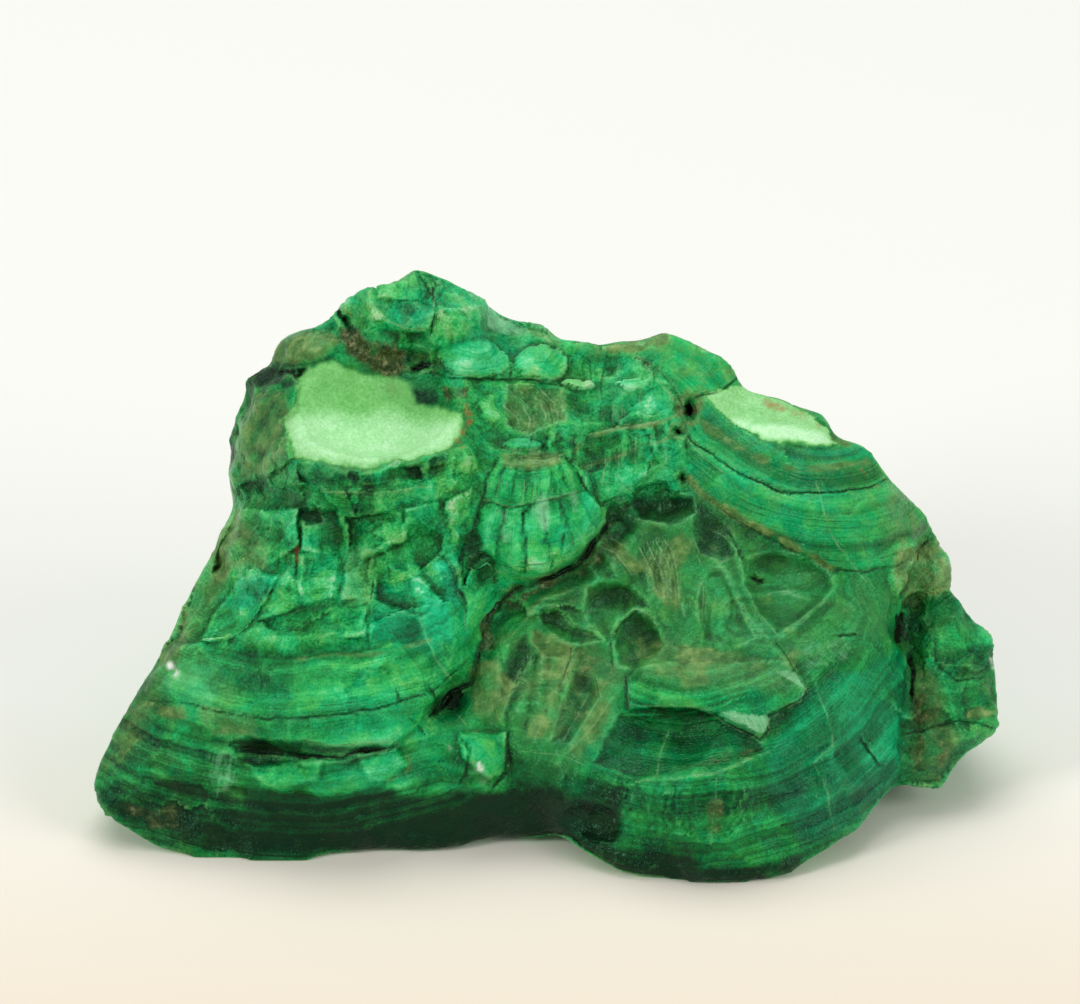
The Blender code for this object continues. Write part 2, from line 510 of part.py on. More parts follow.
def past_surface(points, charts):
    """Return about how far points lie outside the stone, negative inside it."""
    relief, past_outline, rim = charts
    local = points - FACE_ORIGIN
    across = local[:, 0]
    up = local[:, 1] * math.sin(FACE_LEAN) + local[:, 2] * math.cos(FACE_LEAN)
    out = local[:, 2] * math.sin(FACE_LEAN) - local[:, 1] * math.cos(FACE_LEAN)

    front = out - read_chart(relief, across, up)
    flank = np.maximum(read_chart(rim, across, up) - out, 0.0) * SIDE_DRAFT
    flank += read_chart(past_outline, across, up) - OUTLINE_MARGIN
    past = smooth_max(front, flank, EDGE_ROUNDING)
    past = smooth_max(past, past_back(points), EDGE_ROUNDING)
    past = smooth_max(past, -points[:, 2] - UNDERSIDE_DROP, EDGE_ROUNDING)
    for size, height, seed in ROUGHNESS:
        past += height * lump_noise(points, size, seed)
    for size, depth, seed in CHIP_SCARS:
        past += depth * (SCAR_BALANCE - chip_scars(points, size, seed))
    for centre, radii, tilt in SCOOPS:
        past = smooth_max(past, inside_scoop(points, centre, radii, tilt), SCOOP_ROUNDING)
    return past


def surface_points(directions, charts):
    """Walk out from the spine along each direction to the point where the stone ends."""
    along = directions[:, :1]
    spine = STONE_CORE + np.array(SPINE_BEND) * np.hstack([along, along ** 2, along ** 2])
    directions = directions * CORE_REACH
    near = np.zeros(len(directions))
    far = np.full(len(directions), WALK_LIMIT)
    inside = np.ones(len(directions), dtype=bool)
    for reach in np.arange(WALK_STEP, WALK_LIMIT, WALK_STEP):
        leaving = inside & (past_surface(spine + directions * reach, charts) > 0.0)
        near[leaving] = reach - WALK_STEP
        far[leaving] = reach
        inside &= ~leaving
    for _ in range(HALVINGS):
        middle = 0.5 * (near + far)
        outside = past_surface(spine + directions * middle[:, None], charts) > 0.0
        near = np.where(outside, near, middle)
        far = np.where(outside, middle, far)
    return spine + directions * near[:, None]


def settle_on_surface(points, charts):
    """Move points that are near the surface straight onto it."""
    for _ in range(SETTLING_ROUNDS):
        past = past_surface(points, charts)
        slope = np.empty_like(points)
        for axis in range(3):
            nudge = np.zeros(3)
            nudge[axis] = SLOPE_STEP
            ahead = past_surface(points + nudge, charts)
            slope[:, axis] = (ahead - past_surface(points - nudge, charts)) / (2 * SLOPE_STEP)
        steepness = np.maximum(np.sum(slope ** 2, axis=1), 0.2)
        move = -slope * (past / steepness)[:, None]
        length = np.linalg.norm(move, axis=1, keepdims=True)
        points = points + move * np.minimum(1.0, LONGEST_MOVE / np.maximum(length, 1e-9))
    return points


# ----------------------------------------------------------------------------------------
# The Blender object
# ----------------------------------------------------------------------------------------
def clear_scene():
    """Remove every object that the file opened with."""
    for item in list(bpy.data.objects):
        bpy.data.objects.remove(item, do_unlink=True)


def stone_material():
    """Return the stone's own plain green."""
    material = bpy.data.materials.new("malachite_green")
    material.use_nodes = True
    shader = material.node_tree.nodes["Principled BSDF"]
    shader.inputs["Base Color"].default_value = STONE_GREEN
    shader.inputs["Roughness"].default_value = STONE_ROUGHNESS
    shader.inputs["Metallic"].default_value = 0.0
    material.diffuse_color = STONE_GREEN
    return material


def add_sphere():
    """Add the sphere that the stone is drawn out of, in a collection of the object's name."""
    bpy.ops.mesh.primitive_ico_sphere_add(subdivisions=SPHERE_DETAIL, radius=1.0)
    stone = bpy.context.object
    stone.name = PART_NAME
    stone.data.name = PART_NAME
    collection = bpy.data.collections.new(COLLECTION_NAME)
    bpy.context.scene.collection.children.link(collection)
    for former in list(stone.users_collection):
        former.objects.unlink(stone)
    collection.objects.link(stone)
    return stone


def get_points(mesh):
    """Return a mesh's vertices as rows of numbers."""
    points = np.empty(len(mesh.vertices) * 3)
    mesh.vertices.foreach_get("co", points)
    return points.reshape(-1, 3)


def set_points(mesh, points):
    """Move a mesh's vertices."""
    mesh.vertices.foreach_set("co", points.ravel())
    mesh.update()


def apply_modifier(stone, modifier):
    """Make a modifier's result the object's own mesh."""
    bpy.context.view_layer.objects.active = stone
    bpy.ops.object.modifier_apply(modifier=modifier.name)


def draw_out(stone):
    """Pull the sphere out onto the stone's surface, even its faces out and settle them."""
    charts = chart_front()
    points = surface_points(get_points(stone.data), charts)
    set_points(stone.data, points * METRES_PER_MM)
    remesh = stone.modifiers.new("even_faces", "REMESH")
    remesh.mode = "VOXEL"
    remesh.voxel_size = VOXEL_SIZE
    apply_modifier(stone, remesh)
    points = settle_on_surface(get_points(stone.data) / METRES_PER_MM, charts)
    set_points(stone.data, points * METRES_PER_MM)


def reduce_facets(stone):
    """Collapse the fine mesh to flat facets that still follow every ledge."""
    stone.data.calc_loop_triangles()
    facets = stone.modifiers.new("facets", "DECIMATE")
    facets.ratio = FACET_BUDGET / len(stone.data.loop_triangles)
    facets.use_collapse_triangulate = True
    apply_modifier(stone, facets)


def cut_resting_face(stone):
    """Cut the bottom off level at z = 0 and close the cut."""
    body = bmesh.new()
    body.from_mesh(stone.data)
    everything = body.verts[:] + body.edges[:] + body.faces[:]
    bmesh.ops.bisect_plane(body, geom=everything, plane_co=(0, 0, 0), plane_no=(0, 0, 1),
                           clear_inner=True)
    bmesh.ops.remove_doubles(body, verts=body.verts[:], dist=MERGE_DISTANCE)
    rims = [edge for edge in body.edges if edge.is_boundary]
    bmesh.ops.holes_fill(body, edges=rims, sides=0)
    bmesh.ops.triangulate(body, faces=body.faces[:])
    bmesh.ops.recalc_face_normals(body, faces=body.faces[:])
    body.to_mesh(stone.data)
    body.free()


def main():
    """Build the specimen."""
    clear_scene()
    stone = add_sphere()
    draw_out(stone)
    reduce_facets(stone)
    cut_resting_face(stone)
    stone.data.materials.append(stone_material())


if __name__ == "__main__":
    main()
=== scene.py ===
"""Malachite hand specimen on a pale floor: the stone's fine relief, its growth bands and the stage.

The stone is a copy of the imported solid, evened out and cut finer on its broken front.  Places on
the front are chart places: steps of CHART_STEP counted to the right and down, as the front is
seen along SIGHT from VIEW_DISTANCE away.  Widths, margins and softness on the front are chart
steps too.  Heights, depths and sizes of noise are millimetres.
"""

import functools
import itertools
import math

import bpy
import numpy as np
from bpy.props import FloatProperty, FloatVectorProperty, IntProperty, PointerProperty
from bpy.types import Operator, Panel, PropertyGroup
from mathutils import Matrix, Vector


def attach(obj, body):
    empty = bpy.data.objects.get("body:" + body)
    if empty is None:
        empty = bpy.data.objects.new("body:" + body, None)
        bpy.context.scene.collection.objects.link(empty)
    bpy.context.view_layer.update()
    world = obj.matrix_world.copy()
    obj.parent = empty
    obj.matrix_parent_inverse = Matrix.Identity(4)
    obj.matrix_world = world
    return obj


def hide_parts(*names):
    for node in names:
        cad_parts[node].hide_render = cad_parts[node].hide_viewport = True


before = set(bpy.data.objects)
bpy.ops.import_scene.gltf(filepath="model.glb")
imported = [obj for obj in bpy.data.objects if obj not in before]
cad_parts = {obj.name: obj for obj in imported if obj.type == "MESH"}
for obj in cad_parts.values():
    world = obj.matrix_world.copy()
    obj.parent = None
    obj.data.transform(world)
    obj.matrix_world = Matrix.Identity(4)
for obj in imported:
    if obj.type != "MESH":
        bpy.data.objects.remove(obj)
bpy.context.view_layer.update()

bl_info = {
    "name": "Malachite specimen",
    "version": (1, 0, 0),
    "blender": (4, 5, 0),
    "location": "View3D > Sidebar > Malachite",
    "description": "Dresses the malachite specimen and sets its stage",
    "category": "Object",
}

STONE_NODE = "malachite"
PIECE = "malachite_stone"
METRES_PER_MM = 0.001

# --- How the front is laid out ---
LEAN = math.radians(28.0)
FRONT_ORIGIN = np.array([-0.65, 3.6, 38.55])  # mm, what the chart's middle looks at
RIGHTWARD = np.array([1.0, 0.0, 0.0])
UPWARD = np.array([0.0, math.sin(LEAN), math.cos(LEAN)])
SIGHT = np.array([0.0, -math.cos(LEAN), math.sin(LEAN)])
VIEW_DISTANCE = 2000.0  # mm
CHART_STEP = 0.1325  # mm
CHART_MIDDLE = (540.0, 502.0)
FRAME_WIDTH = 1080.0  # chart steps across the whole frame
FRONT_FROM = 0.02  # how much a face of the front looks forwards
FRONT_FADE = 0.25  # over how much more the front's marks set in
FINE_FACING = 0.34  # faces that look forwards more are cut finer

# --- Growth zones of the front ---
# Name, centre of growth, seed, (bands, fibres, chips, tone, olive), outline.  A later zone lies
# over an earlier one.
ZONES = [
    ("left fan", (300, 400), 1.0, (0.8, 1.0, 0.35, 0.0, 0.06), [
        (40, 900), (60, 690), (236, 497), (300, 480), (360, 500), (430, 470), (473, 500), (473, 529),
        (503, 601), (491, 618), (480, 655), (470, 690), (440, 700), (440, 780), (560, 790), (560, 880),
        (60, 900)]),
    ("upper fan", (300, 400), 1.0, (0.5, 0.9, 0.8, 0.05, 0.12), [
        (236, 497), (300, 480), (360, 500), (430, 470), (473, 500), (473, 529), (500, 590), (430, 600),
        (370, 640), (300, 655), (250, 650), (200, 655), (150, 640)]),
    # the toe and the belt: their low tone is partly darker green and partly painted shade on faces that
    # look down
    ("toe", (300, 400), 1.0, (1.2, 0.5, 0.5, -0.19, 0.26), [
        (60, 700), (160, 705), (240, 745), (250, 880), (60, 880)]),
    ("belt", (300, 400), 1.0, (1.2, 0.15, 0.25, -0.41, 0.12), [
        (244, 790), (330, 796), (385, 786), (420, 800), (470, 795), (560, 790), (570, 880), (240, 880)]),
    ("bench", (370, 250), 2.0, (0.5, 0.8, 0.9, 0.02, 0.2), [
        (290, 455), (447, 452), (470, 440), (482, 470), (440, 500), (400, 515), (330, 515), (238, 505),
        (236, 490)]),
    ("left back", (230, 300), 3.0, (0.3, 0.4, 0.8, -0.10, 0.40), [
        (225, 330), (300, 335), (300, 372), (282, 382), (295, 455), (240, 500), (220, 510)]),
    ("peak", (415, 240), 4.0, (0.4, 0.6, 0.8, 0.09, 0.42), [
        (320, 330), (330, 300), (398, 260), (420, 250), (480, 280), (545, 315), (565, 345), (500, 345),
        (440, 345), (420, 372), (400, 378), (345, 345)]),
    ("middle lobe", (590, 296), 5.0, (0.5, 0.7, 0.75, 0.10, 0.18), [
        (425, 372), (440, 340), (480, 330), (560, 338), (640, 345), (660, 360), (684, 400), (690, 430),
        (690, 490), (649, 496), (612, 524), (590, 470), (560, 455), (490, 472), (480, 500), (465, 440),
        (465, 410)]),
    ("skirt", (530, 400), 6.0, (0.5, 0.8, 0.35, 0.09, 0.0), [
        (490, 472), (473, 529), (503, 601), (530, 590), (590, 560), (616, 526), (606, 507), (590, 470),
        (560, 457), (510, 460)]),
    ("top block", (600, 470), 7.0, (0.7, 0.5, 0.2, 0.09, 0.55), [
        (560, 330), (620, 325), (664, 325), (745, 355), (750, 385), (700, 400), (684, 400), (660, 366),
        (636, 353), (560, 345)]),
    ("banded bowl", (840, 285), 8.0, (1.0, 0.3, 0.25, 0.0, 0.30), [
        (684, 400), (704, 390), (729, 412), (800, 430), (851, 436), (970, 560), (936, 540), (895, 565),
        (832, 571), (784, 549), (723, 508), (689, 482)]),
    ("front lobe", (690, 560), 9.0, (1.0, 0.3, 0.35, -0.09, 0.05), [
        (626, 679), (640, 660), (801, 660), (889, 636), (915, 655), (915, 760), (905, 800), (830, 860),
        (700, 890), (555, 855), (590, 763), (618, 718)]),
    ("right lump", (960, 590), 10.0, (0.5, 0.4, 0.6, -0.11, 0.25), [
        (905, 600), (960, 585), (1010, 620), (1010, 790), (905, 800), (900, 740), (912, 680)]),
    ("crust", (900, 500), 11.0, (0.2, 0.3, 1.0, 0.12, 0.5), [
        (893, 546), (947, 535), (962, 590), (905, 612), (888, 580)]),
]
FIELD = (12.0, (0.0, 0.5, 0.25, -0.04, 0.12))  # seed and strengths where no zone lies
BACK = (13.0, (1.0, 0.6, 0.7, 0.0, 0.28))
BACK_SEED_STEP = 0.37  # what each centre of the back adds to the seed
BACK_FROM = 0.35  # share of the front below which the back starts
BANDS, FIBRES, CHIPS = range(3)  # first places in a zone's strengths
ZONE_BLEND = 8  # rounds that even out the zones' strengths
BORDER_REACH = 3  # rounds that a zone's border is felt over
ZONE_REACH = 0.7  # how strongly depth counts in a ring's radius
ZONE_LEVEL = 6.0  # mm, depth of the centres of growth
FAN_WIDTH = 30.0  # mm of fan for each radian round a centre
RING_BASE = 30.0  # mm, ring of the open field

# Centres that the back's bands grow from: x, y, z in mm.
BACK_CENTRES = [
    (-21.0, 17.5, 33.0), (3.0, 15.5, 38.0), (-5.0, 18.0, 12.5), (17.5, 17.0, 18.5),
    (34.0, 9.5, 21.0), (-31.0, 14.5, 14.0), (44.0, 3.5, 10.0), (22.0, 14.0, 35.0),
    (-44.0, 0.0, 8.0), (-31.0, 16.5, 44.0),
]

# --- Tints laid over the zones ---
SCOOP_BACK = -8.5  # mm, how far back the scoops' floors reach

# Outlines and a line that serve twice.
PEAK_FACE = [(377, 306), (400, 326), (420, 330), (434, 322), (432, 306), (400, 302)]
PALE_CREST = [(524, 327), (560, 336), (560, 343), (530, 338)]
BLUE_EDGE = [(433, 562), (448, 560), (464, 590), (462, 606), (448, 602)]
SKIRT_SIDE = [(582, 484), (604, 500), (608, 520), (594, 542), (584, 530)]
BLOCK_CREST = [(595, 341), (640, 338), (664, 333), (668, 341), (636, 351), (598, 350)]
FIELD_STREAK = [(560, 660), (574, 662), (541, 736), (523, 740)]
FAN_VEIN = [(401, 575), (412, 600), (420, 621), (435, 661), (460, 689)]

# Patches: kind, strength, softness, outline.  Whitish green patches are painted sheen and highlights;
# bright ones are lighter green and in places painted highlights; dark green and black ones are darker
# green and in places painted shade under ledges, in holes and along the foot.
PATCHES = [
    # scoops
    ("mint", 0.48, 7, [
        (301, 374), (320, 362), (336, 360), (346, 368), (369, 374), (394, 374), (411, 384), (416, 402),
        (436, 406), (462, 413), (460, 434), (447, 451), (411, 459), (364, 467), (328, 461), (295, 457),
        (293, 442), (282, 419), (295, 409), (298, 389)]),
    ("mint", 0.36, 22, [
        (284, 424), (320, 410), (352, 420), (384, 410), (420, 422), (462, 420), (458, 436), (447, 451),
        (411, 459), (364, 467), (328, 461), (296, 457), (293, 442)]),
    ("olive", 0.50, 16, [
        (384, 372), (412, 384), (416, 402), (440, 408), (432, 424), (404, 418), (388, 396)]),
    ("olive", 0.24, 26, [(300, 372), (344, 364), (400, 378), (412, 400), (360, 404), (306, 396)]),
    ("mint", 0.62, 4, [
        (702, 395), (729, 419), (752, 434), (775, 441), (813, 444), (849, 441), (832, 427), (807, 414),
        (782, 398), (763, 391), (744, 385)]),
    ("mint", 0.30, 8, [(735, 420), (790, 425), (845, 437), (813, 444), (775, 441), (752, 434)]),
    # peak and the upper left
    ("olive", 0.75, 5, [
        (272, 362), (278, 343), (300, 331), (332, 331), (339, 342), (323, 358), (295, 367)]),
    ("dirt", 0.85, 16, [
        (338, 322), (352, 330), (376, 340), (404, 352), (404, 376), (384, 378), (362, 366), (346, 350)]),
    ("teal", 0.55, 5, PEAK_FACE),
    ("deep", 0.22, 6, PEAK_FACE),
    ("bright", 0.14, 6, [(435, 284), (474, 296), (478, 326), (437, 328)]),
    ("silk", 0.75, 9, [(484, 307), (494, 305), (524, 327), (531, 335), (515, 336), (487, 324)]),
    ("olive", 0.60, 6, PALE_CREST),
    ("bright", 0.40, 6, PALE_CREST),
    ("deep", 0.5, 4, [(254, 370), (300, 372), (300, 386), (258, 392)]),
    ("olive", 0.5, 8, [(262, 396), (286, 392), (293, 450), (262, 474), (246, 484)]),
    ("deep", 0.55, 6, [(233, 421), (251, 418), (250, 462), (234, 468)]),
    ("silk", 0.23, 9, [(246, 396), (256, 398), (252, 416), (244, 418)]),
    ("deep", 0.7, 4, [(410, 390), (436, 388), (438, 402), (420, 407)]),
    ("dirt", 0.7, 5, [(438, 386), (470, 386), (468, 398), (446, 402)]),
    # bench and top of the left fan
    ("deep", 0.35, 8, [(294, 463), (380, 470), (447, 458), (442, 474), (380, 484), (300, 480)]),
    ("olive", 0.45, 3, [(330, 488), (380, 490), (424, 484), (424, 490), (380, 496), (332, 494)]),
    ("deep", 0.7, 5, [(296, 510), (318, 508), (324, 524), (304, 526)]),
    ("bright", 0.30, 8, [(426, 480), (470, 470), (480, 500), (468, 540), (440, 545)]),
    ("olive", 0.5, 8, [(240, 520), (270, 540), (268, 570), (236, 572), (214, 580)]),
    ("bright", 0.22, 7, [(300, 552), (338, 548), (338, 600), (304, 606)]),
    ("olive", 0.35, 8, [(345, 550), (374, 548), (372, 606), (348, 604)]),
    ("teal", 0.95, 7, BLUE_EDGE),
    ("teal", 0.55, 10, [(371, 584), (420, 580), (448, 602), (452, 640), (420, 650), (376, 643)]),
    ("deep", 0.25, 10, [(371, 584), (410, 580), (420, 620), (416, 643), (376, 643)]),
    ("teal", 0.6, 5, [(214, 606), (240, 580), (278, 575), (268, 600), (250, 608)]),
    ("bright", 0.32, 5, [(199, 642), (212, 614), (268, 602), (250, 621), (232, 636), (208, 644)]),
    ("deep", 0.30, 8, [(300, 600), (360, 600), (366, 640), (300, 640), (270, 620)]),
    # painted highlight: a pale band across the left fan
    ("bright", 0.34, 14, [
        (294, 670), (386, 664), (430, 650), (440, 680), (400, 698), (340, 710), (284, 714)]),
    ("olive", 0.30, 12, [(160, 650), (200, 650), (240, 690), (230, 706), (180, 700)]),
    ("deep", 0.30, 12, [(200, 650), (250, 644), (270, 680), (230, 700), (205, 690)]),
    ("silk", 0.14, 18, [(256, 640), (300, 640), (296, 700), (250, 700)]),
    ("olive", 0.55, 6, [(196, 706), (257, 716), (257, 738), (210, 738)]),
    # painted shadow under the ledge where a layer ends
    ("black", 0.42, 5, [(236, 742), (262, 738), (306, 742), (306, 754), (270, 759), (240, 756)]),
    ("bright", 0.28, 12, [(246, 764), (320, 762), (316, 780), (290, 789), (262, 786)]),
    ("bright", 0.22, 10, [(356, 752), (393, 748), (409, 766), (380, 783), (371, 781)]),
    ("bright", 0.22, 9, [(388, 778), (410, 774), (430, 782), (420, 796), (396, 796)]),
    ("olive", 0.65, 5, [(160, 706), (184, 705), (186, 718), (162, 718)]),
    ("bright", 0.26, 14, [(163, 716), (190, 716), (196, 770), (168, 772)]),
    ("bright", 0.34, 14, [(204, 744), (244, 742), (242, 812), (212, 812)]),
    ("silk", 0.34, 14, [(206, 752), (238, 750), (240, 790), (214, 800)]),
    ("bright", 0.25, 8, [(118, 768), (166, 768), (168, 792), (130, 794)]),
    ("dirt", 0.50, 9, [
        (604, 524), (618, 520), (600, 560), (560, 586), (530, 596), (500, 618), (490, 650), (478, 652),
        (484, 620), (500, 596), (540, 574), (580, 560)]),
    ("dirt", 0.45, 10, [(120, 806), (172, 806), (180, 828), (150, 832)]),
    # lower middle
    # painted shade in a hole
    ("black", 0.75, 4, [(438, 708), (442, 697), (460, 688), (466, 693), (458, 706), (444, 715)]),
    ("olive", 0.70, 9, [(466, 668), (500, 656), (512, 690), (500, 728), (476, 718)]),
    ("bright", 0.18, 5, [(460, 733), (505, 734), (507, 770), (488, 778), (462, 756)]),
    # painted highlight along the small block's curve
    ("silk", 0.39, 8, [(469, 760), (482, 757), (490, 775), (482, 790), (470, 778)]),
    # painted shade on the belt and under the front lobe's left end
    ("deep", 0.45, 14, [(430, 822), (520, 800), (560, 812), (600, 850), (545, 836), (440, 842)]),
    ("deep", 0.4, 12, [(500, 745), (620, 790), (610, 840), (560, 830), (505, 795)]),
    ("deep", 0.60, 16, [(548, 800), (600, 792), (622, 800), (622, 836), (600, 852), (552, 842)]),
    ("black", 0.42, 12, [(566, 806), (596, 798), (614, 806), (612, 828), (590, 838), (570, 830)]),
    ("silk", 0.26, 9, [(545, 757), (568, 758), (572, 776), (550, 770)]),
    # middle lobe
    ("teal", 0.12, 5, [(437, 345), (475, 334), (510, 345), (510, 365), (480, 374), (445, 372)]),
    ("bright", 0.12, 5, [(440, 350), (508, 350), (500, 370), (450, 372)]),
    ("bright", 0.10, 4, [(517, 356), (535, 348), (556, 356), (552, 374), (522, 376)]),
    ("bright", 0.22, 4, [(564, 380), (580, 375), (597, 378), (594, 388), (570, 387)]),
    ("bright", 0.18, 3, [(611, 380), (640, 379), (638, 386), (616, 387)]),
    ("bright", 0.16, 5, [(478, 390), (506, 392), (504, 420), (482, 420)]),
    ("olive", 0.50, 8, [(508, 384), (568, 386), (568, 420), (530, 432), (508, 424)]),
    ("teal", 0.5, 3, [(504, 442), (520, 436), (542, 438), (544, 446), (522, 450)]),
    ("olive", 0.8, 5, [(500, 452), (560, 450), (564, 464), (530, 472), (504, 466)]),
    ("bright", 0.22, 8, [(604, 468), (640, 470), (680, 462), (682, 486), (650, 494), (612, 496)]),
    ("deep", 0.35, 6, [(604, 392), (620, 390), (640, 410), (636, 424), (600, 430)]),
    ("deep", 0.30, 5, [(580, 446), (620, 436), (684, 424), (686, 434), (622, 448), (584, 458)]),
    ("deep", 0.45, 5, [(590, 448), (606, 445), (608, 470), (594, 474)]),
    ("bright", 0.20, 4, [
        (574, 438), (608, 430), (653, 423), (677, 414), (679, 420), (652, 431), (608, 438), (576, 446)]),
    ("bright", 0.22, 6, [(640, 392), (672, 396), (672, 414), (640, 420)]),
    # skirt
    ("silk", 0.62, 9, [(535, 494), (547, 491), (552, 512), (549, 532), (538, 530), (533, 512)]),
    ("silk", 0.55, 7, [(570, 490), (578, 490), (580, 512), (571, 514)]),
    ("teal", 0.30, 6, SKIRT_SIDE),
    ("bright", 0.26, 6, SKIRT_SIDE),
    ("silk", 0.50, 7, [(494, 508), (512, 510), (514, 540), (500, 548)]),
    ("bright", 0.3, 8, [(500, 560), (560, 550), (590, 540), (560, 575), (510, 588)]),
    # top block
    ("olive", 0.7, 5, BLOCK_CREST),
    ("bright", 0.45, 5, BLOCK_CREST),
    ("silk", 0.20, 16, [(664, 350), (710, 358), (734, 374), (700, 390), (670, 372)]),
    # banded bowl
    ("teal", 0.45, 5, [
        (700, 405), (757, 434), (800, 446), (860, 446), (864, 456), (790, 456), (740, 440), (704, 420)]),
    ("bright", 0.16, 12, [
        (705, 470), (760, 498), (830, 512), (890, 506), (912, 520), (850, 540), (770, 520), (712, 488)]),
    ("bright", 0.10, 10, [(790, 540), (880, 548), (915, 535), (896, 562), (832, 568)]),
    ("deep", 0.6, 7, [(912, 548), (934, 536), (940, 548), (920, 556)]),
    ("olive", 0.7, 8, [(893, 550), (940, 545), (950, 590), (910, 606), (894, 585)]),
    # open field
    ("olive", 0.30, 26, [
        (600, 510), (700, 500), (800, 560), (880, 590), (880, 640), (760, 660), (620, 680), (600, 740),
        (510, 740), (500, 640), (560, 580)]),
    ("deep", 0.22, 7, [(632, 500), (694, 496), (696, 514), (670, 527), (638, 516)]),
    ("deep", 0.28, 12, [
        (694, 500), (715, 512), (730, 530), (735, 556), (722, 560), (700, 553), (692, 530)]),
    ("olive", 0.60, 9, [
        (599, 539), (619, 543), (638, 559), (658, 555), (682, 531), (690, 539), (678, 571), (680, 611),
        (666, 607), (654, 591), (650, 571), (634, 575), (615, 555)]),
    ("bright", 0.20, 8, [(704, 572), (722, 566), (732, 600), (738, 640), (712, 640), (704, 610)]),
    ("silk", 0.30, 5, [(767, 590), (790, 588), (802, 597), (790, 602)]),
    ("deep", 0.30, 5, [(800, 616), (832, 592), (836, 602), (812, 630), (796, 634)]),
    ("olive", 0.55, 6, [(531, 626), (559, 638), (575, 646), (569, 658), (543, 654), (533, 642)]),
    ("dirt", 0.40, 7, [(573, 646), (599, 642), (603, 658), (587, 674), (575, 666)]),
    ("olive", 0.45, 9, FIELD_STREAK),
    ("bright", 0.20, 9, FIELD_STREAK),
    ("olive", 0.35, 10, [(606, 700), (618, 706), (580, 756), (564, 752)]),
    ("deep", 0.30, 10, [(580, 668), (604, 690), (566, 750), (545, 744)]),
    ("deep", 0.30, 10, [(520, 640), (536, 650), (512, 710), (498, 690)]),
    # front lobe
    ("bright", 0.12, 9, [
        (630, 684), (700, 672), (790, 664), (802, 686), (790, 700), (730, 715), (660, 704), (632, 706)]),
    ("silk", 0.36, 10, [(804, 640), (856, 636), (850, 660), (810, 672)]),
    ("silk", 0.80, 5, [(723, 712), (770, 716), (768, 730), (758, 734)]),
    ("olive", 0.40, 8, [(676, 650), (712, 650), (704, 684), (684, 690)]),
    ("deep", 0.30, 10, [
        (594, 760), (620, 716), (700, 712), (750, 735), (764, 750), (700, 770), (640, 778)]),
    ("dirt", 0.30, 12, [(700, 744), (764, 746), (750, 762), (706, 770)]),
    ("teal", 0.60, 10, [
        (801, 696), (836, 674), (866, 669), (889, 650), (904, 657), (910, 690), (905, 740), (893, 788),
        (833, 835), (800, 845), (770, 790), (772, 748)]),
    ("deep", 0.30, 10, [(770, 800), (850, 770), (896, 760), (890, 795), (833, 838), (800, 848)]),
    ("dirt", 0.42, 8, [(708, 792), (724, 796), (724, 838), (710, 842)]),
    ("deep", 0.35, 10, [(640, 830), (720, 840), (720, 876), (650, 870)]),
    # painted contact shadow along the front lobe's foot
    ("black", 0.42, 16, [
        (556, 856), (600, 868), (700, 878), (800, 866), (830, 850), (830, 892), (556, 892)]),
    # painted shade in the pocket between the front lobe and the right lump
    ("black", 0.55, 4, [(892, 614), (906, 612), (908, 640), (894, 646)]),
    # painted shade on the front lobe's underside
    ("deep", 0.80, 14, [
        (600, 846), (640, 862), (700, 868), (760, 866), (800, 856), (800, 882), (690, 890), (600, 870)]),
    # foot, painted shadows, seams and washes across the front
    # painted shade on the foot and under the lower left ledge
    ("deep", 0.60, 10, [(350, 846), (470, 832), (550, 832), (600, 856), (590, 872), (350, 866)]),
    ("deep", 0.55, 14, [
        (236, 742), (306, 738), (350, 746), (400, 740), (396, 752), (350, 760), (300, 764), (244, 764)]),
    ("olive", 0.50, 16, [
        (96, 770), (118, 728), (156, 661), (186, 605), (212, 560), (232, 512), (250, 520), (232, 566),
        (204, 620), (176, 676), (140, 740), (118, 776)]),
    # painted shade on the lower left, which looks down
    ("deep", 0.30, 14, [(100, 790), (180, 770), (240, 800), (240, 856), (150, 846)]),
    ("bright", 0.28, 14, [(591, 352), (640, 356), (676, 402), (672, 416), (600, 426), (586, 400)]),
    ("bright", 0.12, 16, [(440, 346), (560, 348), (590, 372), (560, 382), (440, 374)]),
    ("bright", 0.18, 20, [(240, 540), (440, 540), (460, 640), (300, 650), (210, 640)]),
    ("bright", 0.10, 16, [(604, 462), (684, 455), (686, 488), (612, 498)]),
    ("bright", 0.14, 16, [
        (836, 690), (866, 672), (905, 660), (912, 700), (900, 760), (850, 800), (806, 810), (800, 770),
        (836, 740)]),
    ("bright", 0.22, 16, [(610, 716), (700, 712), (756, 740), (700, 752), (616, 760)]),
    ("bright", 0.48, 6, BLUE_EDGE),
    ("bright", 0.25, 12, [
        (470, 560), (486, 530), (500, 560), (512, 590), (494, 606), (480, 640), (466, 610)]),
    ("bright", 0.18, 14, [(240, 690), (250, 720), (200, 720), (190, 690), (214, 650), (244, 650)]),
    ("bright", 0.20, 12, [(380, 790), (300, 800), (200, 810), (190, 790), (240, 786)]),
    ("bright", 0.22, 16, [(760, 560), (820, 570), (826, 596), (790, 612), (752, 604)]),
    # painted shade along the front lobe's lower edge
    ("deep", 0.50, 12, [(590, 838), (640, 848), (700, 856), (700, 880), (620, 876), (575, 858)]),
    # painted shade on the belt below the ledge
    ("deep", 0.30, 8, [(400, 746), (470, 776), (466, 800), (400, 800)]),
    ("deep", 0.30, 8, [(396, 300), (420, 306), (416, 320), (392, 316)]),
    ("deep", 0.25, 8, [(316, 312), (338, 308), (344, 330), (322, 332)]),
    ("olive", 0.45, 16, [
        (640, 640), (700, 650), (760, 660), (800, 650), (800, 690), (700, 690), (640, 676)]),
